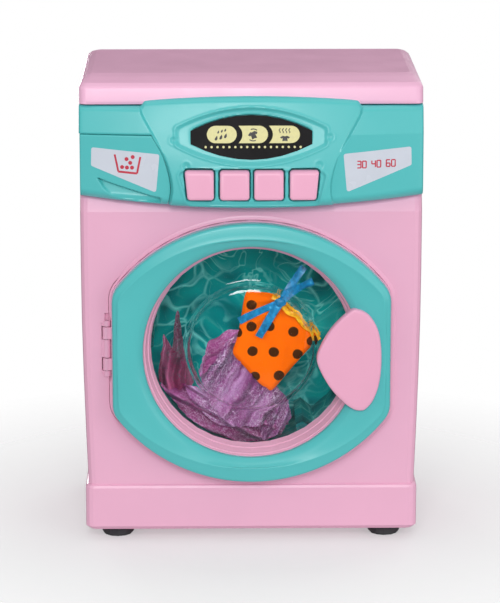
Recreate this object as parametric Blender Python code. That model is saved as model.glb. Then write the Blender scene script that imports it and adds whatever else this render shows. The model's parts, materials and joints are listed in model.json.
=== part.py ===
"""Toy washing machine: a battery toy with an opening door, a pull-out drawer,
four push buttons and a drum that a small motor turns.

Units are metres, +Z is up, the front faces -Y. The origin is on the floor,
under the middle of the machine. Each sub-part is one object, and each has its
own function below.
"""
import math

import bpy
from mathutils import Matrix, Vector

# Overall sizes
TOTAL_HEIGHT = 0.2500
HALF_WIDTH = 0.0900
FRONT_REACH = 0.0650
FIT_GAP = 0.0003
CUT_OVERRUN = 0.0040
WALL = 0.0024

# Main depths and heights, each worked out from the overall sizes
CENTRE_PROUD = 0.0130
FACE_Y = CENTRE_PROUD - FRONT_REACH
REAR_COVER_THICK = 0.0027
BACK_Y = FRONT_REACH - REAR_COVER_THICK - FIT_GAP
COVER_HEIGHT = 0.0135
BODY_TOP_Z = TOTAL_HEIGHT - COVER_HEIGHT
FASCIA_DROP = 0.0005
FASCIA_HEIGHT = 0.0520
FASCIA_TOP_Z = BODY_TOP_Z - FASCIA_DROP
FASCIA_LOW_Z = FASCIA_TOP_Z - FASCIA_HEIGHT

# Feet
FOOT_HEIGHT = 0.0060
FOOT_RADIUS = 0.0085
FOOT_TOE = 0.0010
FOOT_STEM_RADIUS = 0.0025
FOOT_STEM_LENGTH = 0.0045
FOOT_SIDE_INSET = 0.0180
FOOT_END_INSET = 0.0140
FOOT_X = HALF_WIDTH - FOOT_SIDE_INSET
FOOT_FRONT_Y = FACE_Y + FOOT_END_INSET
FOOT_BACK_Y = BACK_Y - FOOT_END_INSET

# Cabinet
BODY_TAPER = 0.0027
BODY_LOW_HALF_WIDTH = HALF_WIDTH - BODY_TAPER
BODY_FULL_DROP = 0.0340
BODY_FULL_Z = FASCIA_LOW_Z - BODY_FULL_DROP
BODY_CORNER = 0.0040
FRONT_WALL = 0.0046
PLINTH_TOP_Z = 0.0310
PLINTH_PROUD = 0.0015
PLINTH_ROUND = 0.0017
BASE_CHAMFER = 0.0020
SHOULDER_DROP = 0.0040
SHOULDER_RISE = 0.0100
SHOULDER_RUN = 0.0045
LEDGE_RISE = 0.0020
UPPER_FACE_RUN = 0.0100
SHOULDER_Z = FASCIA_LOW_Z - SHOULDER_DROP
SHOULDER_TOP_Z = SHOULDER_Z + SHOULDER_RISE
SHOULDER_TOP_Y = FACE_Y + SHOULDER_RUN
LEDGE_Z = SHOULDER_TOP_Z + LEDGE_RISE
UPPER_FACE_Y = FACE_Y + UPPER_FACE_RUN
UPPER_CORNER = 0.0015
CORNER_STEPS = 3
BODY_LEVELS = 5
REAR_OPENING_SIDE = 0.0180
REAR_OPENING_DROP = 0.0165
REAR_OPENING_HALF_WIDTH = HALF_WIDTH - REAR_OPENING_SIDE
REAR_OPENING_LOW_Z = 0.0280
REAR_OPENING_TOP_Z = BODY_TOP_Z - REAR_OPENING_DROP
REAR_OPENING_CORNER = 0.0060

# Door: the ring fills the front between the plinth and the shoulder
RING_MARGIN = 0.0042
RING_SIDE_MARGIN = 0.0165
RING_SINK = 0.0005
RING_Z = (SHOULDER_Z + PLINTH_TOP_Z) / 2 - RING_SINK
RING_HALF_WIDTH = HALF_WIDTH - RING_SIDE_MARGIN
RING_HALF_HEIGHT = (SHOULDER_Z - PLINTH_TOP_Z) / 2 - RING_MARGIN
RING_BULGE = 0.0165
RING_ARC = RING_HALF_WIDTH + RING_BULGE
RING_CORNER = 0.0130
RING_PROUD = 0.0110
RING_LIFT = 0.0041
RING_FRONT_Y = FACE_Y - RING_PROUD
RING_BACK_Y = FACE_Y - RING_LIFT
RING_SHOULDER = 0.0030
RING_EDGE_ROUND = 0.0012
CREST_SIDE_INSET = 0.0031
CREST_TOP_INSET = 0.0077
RING_TOP_BAND = 0.0129
RING_SIDE_BAND = 0.0161
OPENING_RADIUS = min(RING_HALF_HEIGHT - RING_TOP_BAND, RING_HALF_WIDTH - RING_SIDE_BAND)
RING_SLOPE_RUN = 0.0038
SLOPE_RADIUS = OPENING_RADIUS + RING_SLOPE_RUN
RING_SLOPE_DEPTH = 0.0016
RING_LIP_DEPTH = 0.0045
RING_STEPS = 48
BACK_RING_MARGIN = 0.0006
BACK_RING_THICK = 0.0055
FUNNEL_STEP_RUN = 0.0018
FUNNEL_RUN = 0.0039
FUNNEL_STEP_DEPTH = 0.0015
FUNNEL_DEPTH = 0.0094
FUNNEL_STEP_RADIUS = OPENING_RADIUS - FUNNEL_STEP_RUN
FUNNEL_STEP_Y = FACE_Y + FUNNEL_STEP_DEPTH
FUNNEL_INNER_RADIUS = OPENING_RADIUS - FUNNEL_RUN
FUNNEL_END_Y = FACE_Y + FUNNEL_DEPTH
FUNNEL_WALL = 0.0021
RECESS_DEPTH = 0.0020
RECESS_CLEARANCE = 0.0015
PORT_CLEARANCE = 0.0021
PORT_RADIUS = OPENING_RADIUS + PORT_CLEARANCE

# Door window
WINDOW_OVERLAP = 0.0017
WINDOW_RADIUS = FUNNEL_INNER_RADIUS + WINDOW_OVERLAP
WINDOW_THICK = 0.0014
DOME_INSET = 0.0219
DOME_RADIUS = WINDOW_RADIUS - DOME_INSET
DOME_STEP = 0.0045
DOME_STEP_RUN = 0.0012
DOME_RISE = 0.0035
WINDOW_CONE_RISE = 0.0012
DOME_RINGS = 3

# Door hinge and latch
HINGE_OUTSET = 0.0030
HINGE_SUNK = 0.0006
HINGE_RAISE = 0.00135
HINGE_X = -RING_HALF_WIDTH - HINGE_OUTSET
HINGE_Y = FACE_Y + HINGE_SUNK
HINGE_MID_Z = RING_Z + HINGE_RAISE
HINGE_PIN_RADIUS = 0.0010
KNUCKLE_RADIUS = 0.0024
KNUCKLE_LENGTH = 0.0065
KNUCKLE_OFFSET = 0.0085
KNUCKLE_CLEARANCE = 0.0004
KNUCKLE_ROOT = 0.0016
KNUCKLE_ARM_SHARE = 0.9
LUG_RADIUS = 0.0020
END_LUG_LENGTH = 0.0030
HINGE_STEPS = 12
LATCH_INSET = 0.0055
LATCH_X = RING_HALF_WIDTH - LATCH_INSET
LATCH_OFFSET_Z = 0.0120
LATCH_THICK = 0.0016
LATCH_HEIGHT = 0.0060
LATCH_LENGTH = 0.0050
LATCH_CLEARANCE = 0.0012

# Door handle
HANDLE_INSET = 0.0220
HANDLE_SINK = 0.0028
HANDLE_CENTRE_X = RING_HALF_WIDTH - HANDLE_INSET
HANDLE_CENTRE_Z = RING_Z - HANDLE_SINK
HANDLE_HALF_WIDTH = 0.0170
HANDLE_HALF_HEIGHT = 0.0275
HANDLE_PROUD = 0.0015
HANDLE_SUNK = 0.0040
HANDLE_FRONT_Y = RING_FRONT_Y - HANDLE_PROUD
HANDLE_SEAT_Y = RING_FRONT_Y + HANDLE_SUNK
HANDLE_EDGE = 0.0016
HANDLE_OUTLINE_SHARES = [(-1.00, 0.06), (-0.66, 0.36), (-0.26, 0.68), (0.14, 0.93), (0.34, 1.00),
                         (0.52, 0.96), (0.72, 0.72), (0.90, 0.36), (1.00, -0.04), (0.98, -0.40),
                         (0.86, -0.72), (0.64, -0.95), (0.46, -1.00), (0.24, -0.95), (-0.10, -0.70),
                         (-0.54, -0.34), (-0.90, -0.06)]

# Display
DISPLAY_RAISE = 0.0372
DISPLAY_Z = FASCIA_LOW_Z + DISPLAY_RAISE
DISPLAY_TILT = math.radians(15.0)
BEZEL_HALF_WIDTH = 0.0395
BEZEL_HALF_HEIGHT = 0.0149
DISPLAY_HALF_WIDTH = 0.0317
DISPLAY_HALF_HEIGHT = 0.0117
BLUNT_SHARE = 0.30
BEZEL_DEPTH = 0.0023
DISPLAY_THICK = 0.0012
LENS_STEPS = 8

# Fascia: the control panel and the drawer front share one outer surface
FASCIA_LOW_RISE = 0.0052
ARCH_STEP = 0.0026
ARCH_RISE = 0.0024
CREASE_DROP = 0.0140
CREASE_Z = FASCIA_TOP_Z - CREASE_DROP
WING_PROUD = 0.0030
SEAM_STEP = 0.0022
SEAM_SOFTNESS = 0.0007
SEAM_MARGIN = 0.0184
SEAM_HALF_WIDTH = BEZEL_HALF_WIDTH + SEAM_MARGIN
SEAM_SHARES = [(0.00, 0.741), (0.18, 0.713), (0.34, 0.731), (0.53, 0.786), (0.72, 0.879),
               (0.92, 0.981), (1.00, 1.000)]
CENTRE_LEAN = 0.0098
CENTRE_LEAN_POWER = 1.7
WING_LOWER_LEAN = 0.0012
WING_UPPER_LEAN = 0.0040
BOTTOM_BAND = 0.0044
BOTTOM_DROP = 0.0034
TOP_BAND = 0.0024
TOP_DROP = 0.0018
WING_THICK = 0.0022
CENTRE_THICK = 0.0058
FASCIA_WALL = 0.0021
WING_COLUMNS = 3
CENTRE_COLUMNS = 8
LOWER_ROWS = 4
UPPER_ROWS = 2

# Buttons
BUTTON_PLACE_SHARES = (-0.691, -0.223, 0.228, 0.699)
BUTTON_XS = [BEZEL_HALF_WIDTH * share for share in BUTTON_PLACE_SHARES]
BUTTON_RAISE = 0.0125
BUTTON_Z = FASCIA_LOW_Z + BUTTON_RAISE
BUTTON_TILT = math.radians(6.0)
BUTTON_HALF_WIDTH = 0.0077
BUTTON_HALF_HEIGHT = 0.0079
BUTTON_SLANT = 0.0016
BUTTON_CORNER = 0.0017
BUTTON_CLEARANCE = 0.0004
BUTTON_SUNK = 0.0007
BUTTON_BEVEL = 0.0012
BUTTON_TRAVEL = 0.0020
BUTTON_SEAT_GAP = 0.0007
BUTTON_FLANGE = 0.0009
BUTTON_FLANGE_THICK = 0.0012
BUTTON_STEM_RADIUS = 0.0022

# Control board
BOARD_MARGIN = 0.0010
BOARD_HALF_WIDTH = BEZEL_HALF_WIDTH + BOARD_MARGIN
BOARD_RAISE = 0.0095
BOARD_HEIGHT = 0.0365
BOARD_LOW_Z = FASCIA_LOW_Z + BOARD_RAISE
BOARD_TOP_Z = BOARD_LOW_Z + BOARD_HEIGHT
BOARD_SETBACK = 0.0055
BOARD_FRONT_Y = FACE_Y + BOARD_SETBACK
BOARD_THICK = 0.0016
BOARD_OPENING_SIDE = 0.0035
BOARD_OPENING_HALF_WIDTH = BOARD_HALF_WIDTH + BOARD_OPENING_SIDE
BOARD_OPENING_LOW_Z = BOARD_LOW_Z - BOARD_MARGIN
BOARD_OPENING_TOP_Z = BOARD_TOP_Z + 2 * BOARD_MARGIN
STANDOFF_RADIUS = 0.0026
STANDOFF_INSET = 0.0040
STANDOFF_RAISE = 0.0160
STANDOFF_X = BOARD_HALF_WIDTH - STANDOFF_INSET
STANDOFF_LOW_Z = BOARD_LOW_Z + STANDOFF_RAISE
STANDOFF_TOP_Z = BOARD_TOP_Z - STANDOFF_INSET
PANEL_POST_RADIUS = 0.0030
PANEL_POST_INSET = 0.0200
PANEL_POST_DROP = 0.0075
PANEL_POST_X = HALF_WIDTH - PANEL_POST_INSET
PANEL_POST_Z = FASCIA_TOP_Z - PANEL_POST_DROP
SWITCH_HALF = 0.0030
SWITCH_THICK = 0.0035
LED_RADIUS = 0.0016
LED_LENGTH = 0.0034
LED_PITCH = 0.0163
LED_COUNT = 3
LED_STEPS = 12

# Detergent drawer and its guide
DRAWER_GAP = 0.0004
TRAY_SIDE_MARGIN = 0.0085
TRAY_SEAM_MARGIN = 0.0105
TRAY_RAISE = 0.0105
TRAY_DROP = 0.0050
TRAY_LEFT_X = TRAY_SIDE_MARGIN - HALF_WIDTH
TRAY_RIGHT_X = -BEZEL_HALF_WIDTH - TRAY_SEAM_MARGIN
TRAY_LOW_Z = FASCIA_LOW_Z + TRAY_RAISE
TRAY_TOP_Z = CREASE_Z - TRAY_DROP
DRAWER_TRAVEL = 0.0400
DRAWER_KEEP = 0.0140
TRAY_LENGTH = DRAWER_TRAVEL + DRAWER_KEEP
TRAY_WALL = 0.0014
TRAY_DIVIDER_SHARE = 0.55
GUIDE_CLEARANCE = 0.0005
GUIDE_WALL = 0.0015
GUIDE_FLANGE = 0.0022
GUIDE_SPARE = 0.0050
GUIDE_LENGTH = TRAY_LENGTH + GUIDE_SPARE
GRIP_DEPTH = 0.0042
GRIP_WALL = 0.0014
GRIP_SHIFT = 0.00175
GRIP_SPREAD = 0.00025
GRIP_RAISE = 0.0135
GRIP_HALF_WIDTH = (TRAY_RIGHT_X - TRAY_LEFT_X) / 2 + GRIP_SPREAD
GRIP_HALF_HEIGHT = 0.0058
GRIP_CENTRE_X = (TRAY_LEFT_X + TRAY_RIGHT_X) / 2 + GRIP_SHIFT
GRIP_CENTRE_Z = FASCIA_LOW_Z + GRIP_RAISE
GRIP_OUTLINE_SHARES = [(-1.00, 1.00), (-0.62, -0.35), (-0.45, -0.58), (0.90, -1.00), (1.00, -0.72),
                       (0.96, -0.55), (-0.10, 0.10)]

# Top cover
LIP_SETBACK = 0.0020
LIP_Y = FACE_Y + LIP_SETBACK
LIP_LOW_Z = BODY_TOP_Z + FIT_GAP
LIP_DROP = 0.0045
LIP_TOP_Z = TOTAL_HEIGHT - LIP_DROP
COVER_BEND_DROP = 0.0026
COVER_BEND_Z = TOTAL_HEIGHT - COVER_BEND_DROP
COVER_BEND_INSET = 0.0040
COVER_FOLD_DROP = 0.0010
COVER_FOLD_Z = TOTAL_HEIGHT - COVER_FOLD_DROP
COVER_FOLD_INSET = 0.0150
COVER_FLAT_INSET = 0.0220
COVER_SIDE_INSETS = (0.0012, 0.0034, 0.0060)
COVER_CORNER = 0.0040
COVER_WALL = 0.0022
SKIRT_DEPTH = 0.0050
SKIRT_CLEARANCE = 0.0003

# Rear cover
REAR_COVER_OVERLAP = 0.0090
REAR_COVER_CORNER = 0.0080
REAR_COVER_EDGE = 0.0009
VENT_COUNT = 6
VENT_RAISE = 0.0100
VENT_LOW_Z = RING_Z + VENT_RAISE
VENT_PITCH = 0.0070
VENT_HALF_WIDTH = 0.0260
VENT_HALF_HEIGHT = 0.0013
VENT_ROUND_SHARE = 0.9
VENT_STEPS = 2
CASE_SCREW_SIDE = 0.0135
CASE_SCREW_DROP = 0.0215
CASE_SCREW_X = HALF_WIDTH - CASE_SCREW_SIDE
CASE_SCREW_LOW_Z = 0.0330
CASE_SCREW_TOP_Z = BODY_TOP_Z - CASE_SCREW_DROP
CASE_BOSS_RADIUS = 0.0038
CASE_BOSS_LENGTH = 0.0080

# Screws
SCREW_RADIUS = 0.0012
SCREW_HEAD_RADIUS = 0.0026
SCREW_HEAD_HEIGHT = 0.0016
SCREW_LENGTH = 0.0080
SCREW_CROWN_SHARE = 0.70
SCREW_SUNK = 0.0003
SCREW_SEAT_GAP = 0.00015
DOOR_SCREW_LENGTH = 0.0060
DOOR_SCREW_RAISE = 0.0072
BOARD_HOLE_DEPTH = 0.0050
SCREW_STEPS = 10

# Drum and its drive
DRUM_OVERLAP = 0.0046
DRUM_RADIUS = OPENING_RADIUS + DRUM_OVERLAP
DRUM_WALL = 0.0018
DRUM_SETBACK = 0.0150
DRUM_FRONT_Y = FACE_Y + DRUM_SETBACK
MOTOR_ROOM = 0.0305
GEAR_ROOM = 0.0135
PLATE_Y = BACK_Y - MOTOR_ROOM
DRUM_BACK_Y = PLATE_Y - GEAR_ROOM
DRUM_LIP = 0.0016
DRUM_STEPS = 40
LIFTER_HEIGHT_SHARE = 0.129
LIFTER_WIDTH_SHARE = 0.0887
LIFTER_HEIGHT = DRUM_RADIUS * LIFTER_HEIGHT_SHARE
LIFTER_HALF_WIDTH = DRUM_RADIUS * LIFTER_WIDTH_SHARE
LIFTER_COUNT = 3
LIFTER_TOP_SHARE = 0.40
LIFTER_START = math.radians(60.0)
HUB_RADIUS = 0.0070
HUB_LENGTH = 0.0050
HUB_FLOOR = 0.0006
BACKING_THICK = 0.0008
BACKING_MARGIN = 0.0008
SHAFT_RADIUS = 0.0030
SHAFT_TAIL = 0.0020
BEARING_RADIUS = 0.0055
BEARING_FLANGE_RADIUS = 0.0075
BEARING_FLANGE_THICK = 0.0010
CLIP_RADIUS = 0.0060
CLIP_THICK = 0.0010
PLATE_THICK = 0.0024
PLATE_SIDE = 0.0065
PLATE_INSET = 0.0110
PLATE_HALF_WIDTH = HALF_WIDTH - PLATE_SIDE
PLATE_HALF_HEIGHT = DRUM_RADIUS - PLATE_INSET
PLATE_CORNER = 0.0060
PLATE_WINDOW_SIDE = 0.0335
PLATE_WINDOW_DROP = 0.0240
PLATE_WINDOW_X = PLATE_HALF_WIDTH - PLATE_WINDOW_SIDE
PLATE_WINDOW_OFFSET_Z = PLATE_HALF_HEIGHT - PLATE_WINDOW_DROP
PLATE_WINDOW_RADIUS = 0.0130
POST_SIDE = 0.0120
POST_INSET = 0.0060
POST_X = HALF_WIDTH - POST_SIDE
POST_OFFSET_Z = PLATE_HALF_HEIGHT - POST_INSET
POST_RADIUS = 0.0042
ROUND_STEPS = 20

# Gears: all of one module
GEAR_MODULE = 0.0010
PRESSURE_ANGLE = math.radians(20.0)
ADDENDUM = 0.0007
DEDENDUM = 0.0010
TOOTH_SHARE = 0.84
GEAR_SPREAD = 0.0002
DRUM_TEETH = 44
SMALL_TEETH = 10
LARGE_TEETH = 30
PINION_TEETH = 8
GEAR_FACE = 0.0037
LARGE_FACE = 0.0032
PINION_FACE = 0.0028
GEAR_STACK_GAP = 0.0005
DRIVE_ANGLE = math.radians(35.0)
AXLE_RADIUS = 0.0014
MOTOR_SHAFT_RADIUS = 0.0010
MOTOR_RADIUS = 0.0100
MOTOR_FLAT = 0.0076
MOTOR_LENGTH = 0.0240
MOTOR_NOSE_RADIUS = 0.0030
MOTOR_NOSE_LENGTH = 0.0018
MOTOR_STEPS = 24
CRADLE_WALL = 0.0014
CRADLE_LENGTH = 0.0080

# Batteries
CELL_RADIUS = 0.0071
CELL_LENGTH = 0.0505
CELL_PITCH = 0.0152
CELL_COUNT = 3
CELL_NUB_RADIUS = 0.0027
CELL_NUB_LENGTH = 0.0010
CELL_RIM = 0.0006
CELL_STEPS = 20
BOX_LOW_Z = 0.0325
BOX_WALL = 0.0016
BOX_MARGIN_X = 0.0018
BOX_MARGIN_Z = 0.0006
BOX_DEPTH = 0.0170
BOX_FLANGE = 0.0030
BATTERY_DOOR_REST = 0.0022
BATTERY_DOOR_CLEARANCE = 0.0004
BATTERY_DOOR_EAR = 0.0090
BATTERY_DOOR_EAR_HALF = 0.0070
BATTERY_DOOR_SUNK = 0.0002
GROOVE_COUNT = 4
GROOVE_PITCH = 0.0030
GROOVE_HALF_LENGTH = 0.0080
GROOVE_WIDTH = 0.0012
GROOVE_DEPTH = 0.0007

# Speaker and power switch
SPEAKER_SIDE = 0.0300
SPEAKER_RAISE = 0.0010
SPEAKER_X = SPEAKER_SIDE - REAR_OPENING_HALF_WIDTH
SPEAKER_Z = FASCIA_LOW_Z + SPEAKER_RAISE
SPEAKER_RADIUS = 0.0180
SPEAKER_RIM_THICK = 0.0016
SPEAKER_DEPTH = 0.0100
MAGNET_RADIUS = 0.0090
MAGNET_DEPTH = 0.0050
GRILLE_HOLE = 0.0014
GRILLE_PITCH = 0.0052
GRILLE_COUNTS = (1, 6, 12)
GRILLE_STEPS = 6
KNOB_SIDE = 0.0280
KNOB_X = REAR_OPENING_HALF_WIDTH - KNOB_SIDE
KNOB_Z = SPEAKER_Z
KNOB_HALF_WIDTH = 0.0022
KNOB_HALF_HEIGHT = 0.0020
KNOB_TRAVEL = 0.0040
KNOB_INSIDE = 0.0024
KNOB_RECESS = 0.0003
KNOB_CLEARANCE = 0.0004
POWER_HALF_WIDTH = 0.0075
POWER_HALF_HEIGHT = 0.0045
POWER_DEPTH = 0.0075

# Play laundry: its size goes with the drum's
DRESS_SIDE_SHARE = 0.197
DRESS_RAISE_SHARE = 0.105
DRESS_WIDTH_SHARE = 0.365
DRESS_HEIGHT_SHARE = 0.432
DRESS_SETBACK = 0.0080
DRESS_X = DRUM_RADIUS * DRESS_SIDE_SHARE
DRESS_Z = RING_Z + DRUM_RADIUS * DRESS_RAISE_SHARE
DRESS_Y = DRUM_FRONT_Y + DRESS_SETBACK
DRESS_HALF_WIDTH = DRUM_RADIUS * DRESS_WIDTH_SHARE
DRESS_HALF_HEIGHT = DRUM_RADIUS * DRESS_HEIGHT_SHARE
DRESS_HALF_THICK = 0.0040
DRESS_OUTLINE_SHARES = [(-0.98, -0.22), (-0.84, 0.34), (-0.62, 0.70), (-0.38, 1.00), (0.26, 0.92),
                        (0.56, 0.74), (0.98, 0.40), (1.00, 0.14), (0.52, -0.42), (0.10, -0.94),
                        (-0.12, -1.00), (-0.34, -0.86), (-0.70, -0.50)]
DRESS_LAYER_SHARES = ((0.45, 1.00), (0.72, 0.96), (0.90, 0.75), (1.00, 0.25))
RIBBON_WIDTH_SHARE = 0.0387
RIBBON_HALF_WIDTH = DRUM_RADIUS * RIBBON_WIDTH_SHARE
RIBBON_THICK = 0.0006
RIBBON_STEPS = 12
RIBBON_KNOT_SHARE = 1.4
RIBBON_KNOT_PLACE_SHARES = (0.12, 0.72)
RIBBON_TAIL_SHARES = [(math.radians(-156.0), 0.98), (math.radians(38.0), 0.88),
                      (math.radians(60.0), 0.96), (math.radians(-122.0), 0.98)]
RIBBON_BACK_SHARE = 0.02
RIBBON_LAYER_SHARE = 0.05
TULLE_INNER_SHARE = 0.12
TULLE_START = math.radians(197.0)
TULLE_END = math.radians(292.0)
TULLE_DEPTH = 0.0130
TULLE_STEPS = 10

# Leads inside the cabinet: where they start and end, and how they run between
LEAD_RADIUS = 0.0011
LEAD_SPACING = 0.0066
LEAD_BEVEL_STEPS = 2
LEAD_BOARD_GAP = 0.0014
LEAD_MOTOR_GAP = 0.0015
LEAD_SPEAKER_GAP = 0.0015
LEAD_BOX_GAP = 0.0048
LEAD_BOX_INSET = 0.0060
LEAD_BOX_X = -0.0100
LEAD_END_XS = {"battery_lead": -0.0040, "motor_lead": 0.0100, "speaker_lead": -0.0170}
LEAD_END_RAISES = {"battery_lead": 0.0280, "motor_lead": 0.0300, "speaker_lead": 0.0320}
LEAD_ROUTE_SHARES = {
    "battery_lead": [(-0.17, 0.04, 0.20), (0.00, 0.10, 0.46), (0.33, 0.23, 0.67), (0.67, 0.48, 0.77),
                     (1.00, 0.76, 0.86)],
    "motor_lead": [(-0.04, 0.00, 0.13), (0.07, 0.08, 0.35), (0.32, 0.25, 0.52), (0.68, 0.50, 0.66),
                   (0.93, 0.77, 0.79)],
    "speaker_lead": [(0.08, 0.11, 0.04), (0.36, 0.32, 0.10), (0.68, 0.60, 0.26), (0.92, 0.81, 0.55)],
}


def clear_scene():
    """Remove everything that is in the scene."""
    for old in list(bpy.data.objects):
        bpy.data.objects.remove(old, do_unlink=True)


def material(name, colour, roughness, metallic=0.0, alpha=1.0):
    """A Principled material, made once for each name."""
    made = bpy.data.materials.get(name)
    if made:
        return made
    made = bpy.data.materials.new(name)
    made.use_nodes = True
    shader = made.node_tree.nodes["Principled BSDF"]
    shader.inputs["Base Color"].default_value = (*colour, 1.0)
    shader.inputs["Roughness"].default_value = roughness
    shader.inputs["Metallic"].default_value = metallic
    shader.inputs["Alpha"].default_value = alpha
    made.diffuse_color = (*colour, alpha)
    return made


def pink_plastic():
    return material("pink_plastic", (0.85, 0.42, 0.58), 0.35)


def teal_plastic():
    return material("teal_plastic", (0.11, 0.55, 0.55), 0.35)


def dark_plastic():
    return material("dark_plastic", (0.02, 0.02, 0.02), 0.45)


def grey_plastic():
    return material("grey_plastic", (0.55, 0.56, 0.58), 0.5)


def white_plastic():
    return material("white_plastic", (0.82, 0.82, 0.80), 0.45)


def clear_plastic():
    return material("clear_plastic", (0.9, 0.97, 0.98), 0.05, alpha=0.3)


def black_display():
    return material("black_display", (0.015, 0.013, 0.015), 0.15)


def rubber():
    return material("rubber", (0.05, 0.05, 0.05), 0.8)


def steel():
    return material("steel", (0.6, 0.6, 0.62), 0.3, metallic=1.0)


def brass():
    return material("brass", (0.75, 0.55, 0.25), 0.3, metallic=1.0)


def board_green():
    return material("board_green", (0.03, 0.22, 0.08), 0.5)


def water_print():
    return material("water_print", (0.02, 0.35, 0.36), 0.3)


def cell_wrap():
    return material("cell_wrap", (0.10, 0.12, 0.45), 0.35)


def orange_cloth():
    return material("orange_cloth", (1.0, 0.16, 0.01), 0.9)


def blue_satin():
    return material("blue_satin", (0.01, 0.16, 0.5), 0.35)


def lilac_tulle():
    return material("lilac_tulle", (0.32, 0.14, 0.40), 0.8)


def red_wire():
    return material("red_wire", (0.6, 0.03, 0.03), 0.5)


def black_wire():
    return material("black_wire", (0.02, 0.02, 0.02), 0.5)


def mesh_object(name, points, faces, finish, smooth=0.0):
    """A mesh object from points and faces, shaded smooth below the angle."""
    mesh = bpy.data.meshes.new(name)
    mesh.from_pydata([tuple(point) for point in points], [], faces)
    mesh.validate()
    mesh.update()
    if smooth:
        mesh.shade_smooth()
        mesh.set_sharp_from_angle(angle=smooth)
    made = bpy.data.objects.new(name, mesh)
    bpy.context.scene.collection.objects.link(made)
    if finish:
        mesh.materials.append(finish)
    return made


SMOOTH = math.radians(35.0)


def loft(name, loops, finish, ring=False, smooth=SMOOTH):
    """Skin a row of loops. Each runs anticlockwise as seen from where the row goes."""
    count = len(loops[0])
    points = [point for loop in loops for point in loop]
    faces = []
    rows = len(loops) if ring else len(loops) - 1
    for row in range(rows):
        low = row * count
        high = ((row + 1) % len(loops)) * count
        for step in range(count):
            after = (step + 1) % count
            faces.append((low + step, low + after, high + after, high + step))
    if not ring:
        last = (len(loops) - 1) * count
        faces.append(tuple(reversed(range(count))))
        faces.append(tuple(range(last, last + count)))
    return mesh_object(name, points, faces, finish, smooth)


def plan_loop(half_width, front, back, radius, z):
    """A rounded rectangle seen from above, at height z."""
    points = []
    corners = ((1, 1), (-1, 1), (-1, -1), (1, -1))
    for quarter, (side, end) in enumerate(corners):
        centre_x = side * (half_width - radius)
        centre_y = back - radius if end > 0 else front + radius
        for step in range(CORNER_STEPS + 1):
            angle = (quarter + step / CORNER_STEPS) * math.pi / 2
            points.append((centre_x + radius * math.cos(angle), centre_y + radius * math.sin(angle), z))
    return points


def rounded_rectangle(half_width, half_height, radius, centre=(0.0, 0.0), steps=CORNER_STEPS):
    """Points (across, up) of a rounded rectangle, anticlockwise."""
    points = []
    for quarter, (side, end) in enumerate(((1, 1), (-1, 1), (-1, -1), (1, -1))):
        for step in range(steps + 1):
            angle = (quarter + step / steps) * math.pi / 2
            points.append((centre[0] + side * (half_width - radius) + radius * math.cos(angle),
                           centre[1] + end * (half_height - radius) + radius * math.sin(angle)))
    return points


def circle(radius, steps, centre=(0.0, 0.0)):
    """Points (across, up) of a circle, anticlockwise."""
    turns = [2 * math.pi * step / steps for step in range(steps)]
    return [(centre[0] + radius * math.cos(turn), centre[1] + radius * math.sin(turn)) for turn in turns]


def facing(outline, y):
    """An outline that faces the front, at depth y."""
    return [(across, y, up) for across, up in outline]


def prism(name, outline, front, back, finish, smooth=SMOOTH):
    """An outline that faces the front, carried from the back depth to the front one."""
    return loft(name, [facing(outline, back), facing(outline, front)], finish, smooth=smooth)


def standing_prism(name, outline, low, high, finish, smooth=SMOOTH):
    """An outline (x, y) seen from above, carried from height low to height high."""
    return loft(name, [[(x, y, low) for x, y in outline], [(x, y, high) for x, y in outline]],
                finish, smooth=smooth)


def box(name, low, high, finish):
    """A plain box between two corners."""
    outline = [(high[0], high[2]), (low[0], high[2]), (low[0], low[2]), (high[0], low[2])]
    return prism(name, outline, low[1], high[1], finish, smooth=0.0)


def turned(name, profile, finish, steps=ROUND_STEPS, centre=(0.0, 0.0), smooth=SMOOTH):
    """Turn (radius, y) pairs round a line that runs front to back.

    A profile that starts and ends on the line is capped there. Any other one
    comes back to its start, as a ring.
    """
    points = []
    faces = []
    rows = []
    for radius, y in profile:
        if radius == 0.0:
            rows.append([len(points)])
            points.append((centre[0], y, centre[1]))
            continue
        rows.append(list(range(len(points), len(points) + steps)))
        points.extend(facing(circle(radius, steps, centre), y))
    closed = profile[0][0] != 0.0
    pairs = list(zip(rows, rows[1:]))
    if closed:
        pairs.append((rows[-1], rows[0]))
    for low, high in pairs:
        for step in range(steps):
            after = (step + 1) % steps
            if len(low) == 1:
                faces.append((low[0], high[after], high[step]))
            elif len(high) == 1:
                faces.append((low[step], low[after], high[0]))
            else:
                faces.append((low[step], low[after], high[after], high[step]))
    return mesh_object(name, points, faces, finish, smooth)


def rod(name, radius, front, back, finish, steps=ROUND_STEPS, centre=(0.0, 0.0)):
    """A round bar that runs front to back."""
    return prism(name, circle(radius, steps, centre), front, back, finish)


def post(name, radius, low, high, finish, steps=ROUND_STEPS, centre=(0.0, 0.0)):
    """A round bar that stands up."""
    return standing_prism(name, circle(radius, steps, centre), low, high, finish)


def tool(shape):
    """Turn an object into a cutter or a piece of a union: the build leaves it out."""
    shape.hide_render = True
    shape.display_type = 'WIRE'
    return shape


def combine(target, operation, *shapes):
    """Add Boolean modifiers that cut with, or join on, each of the shapes."""
    for shape in shapes:
        tool(shape)
        step = target.modifiers.new(shape.name, 'BOOLEAN')
        step.operation = operation
        step.solver = 'EXACT'
        step.object = shape
    return target


def cut(target, *shapes):
    return combine(target, 'DIFFERENCE', *shapes)


def join(target, *shapes):
    return combine(target, 'UNION', *shapes)


def tilted(shape, tilt, pivot):
    """Lean an object back about a crosswise line through the pivot (y, z)."""
    shape.matrix_world = (Matrix.Translation((0.0, pivot[0], pivot[1]))
                          @ Matrix.Rotation(-tilt, 4, 'X')
                          @ Matrix.Translation((0.0, -pivot[0], -pivot[1])))
    return shape


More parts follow.
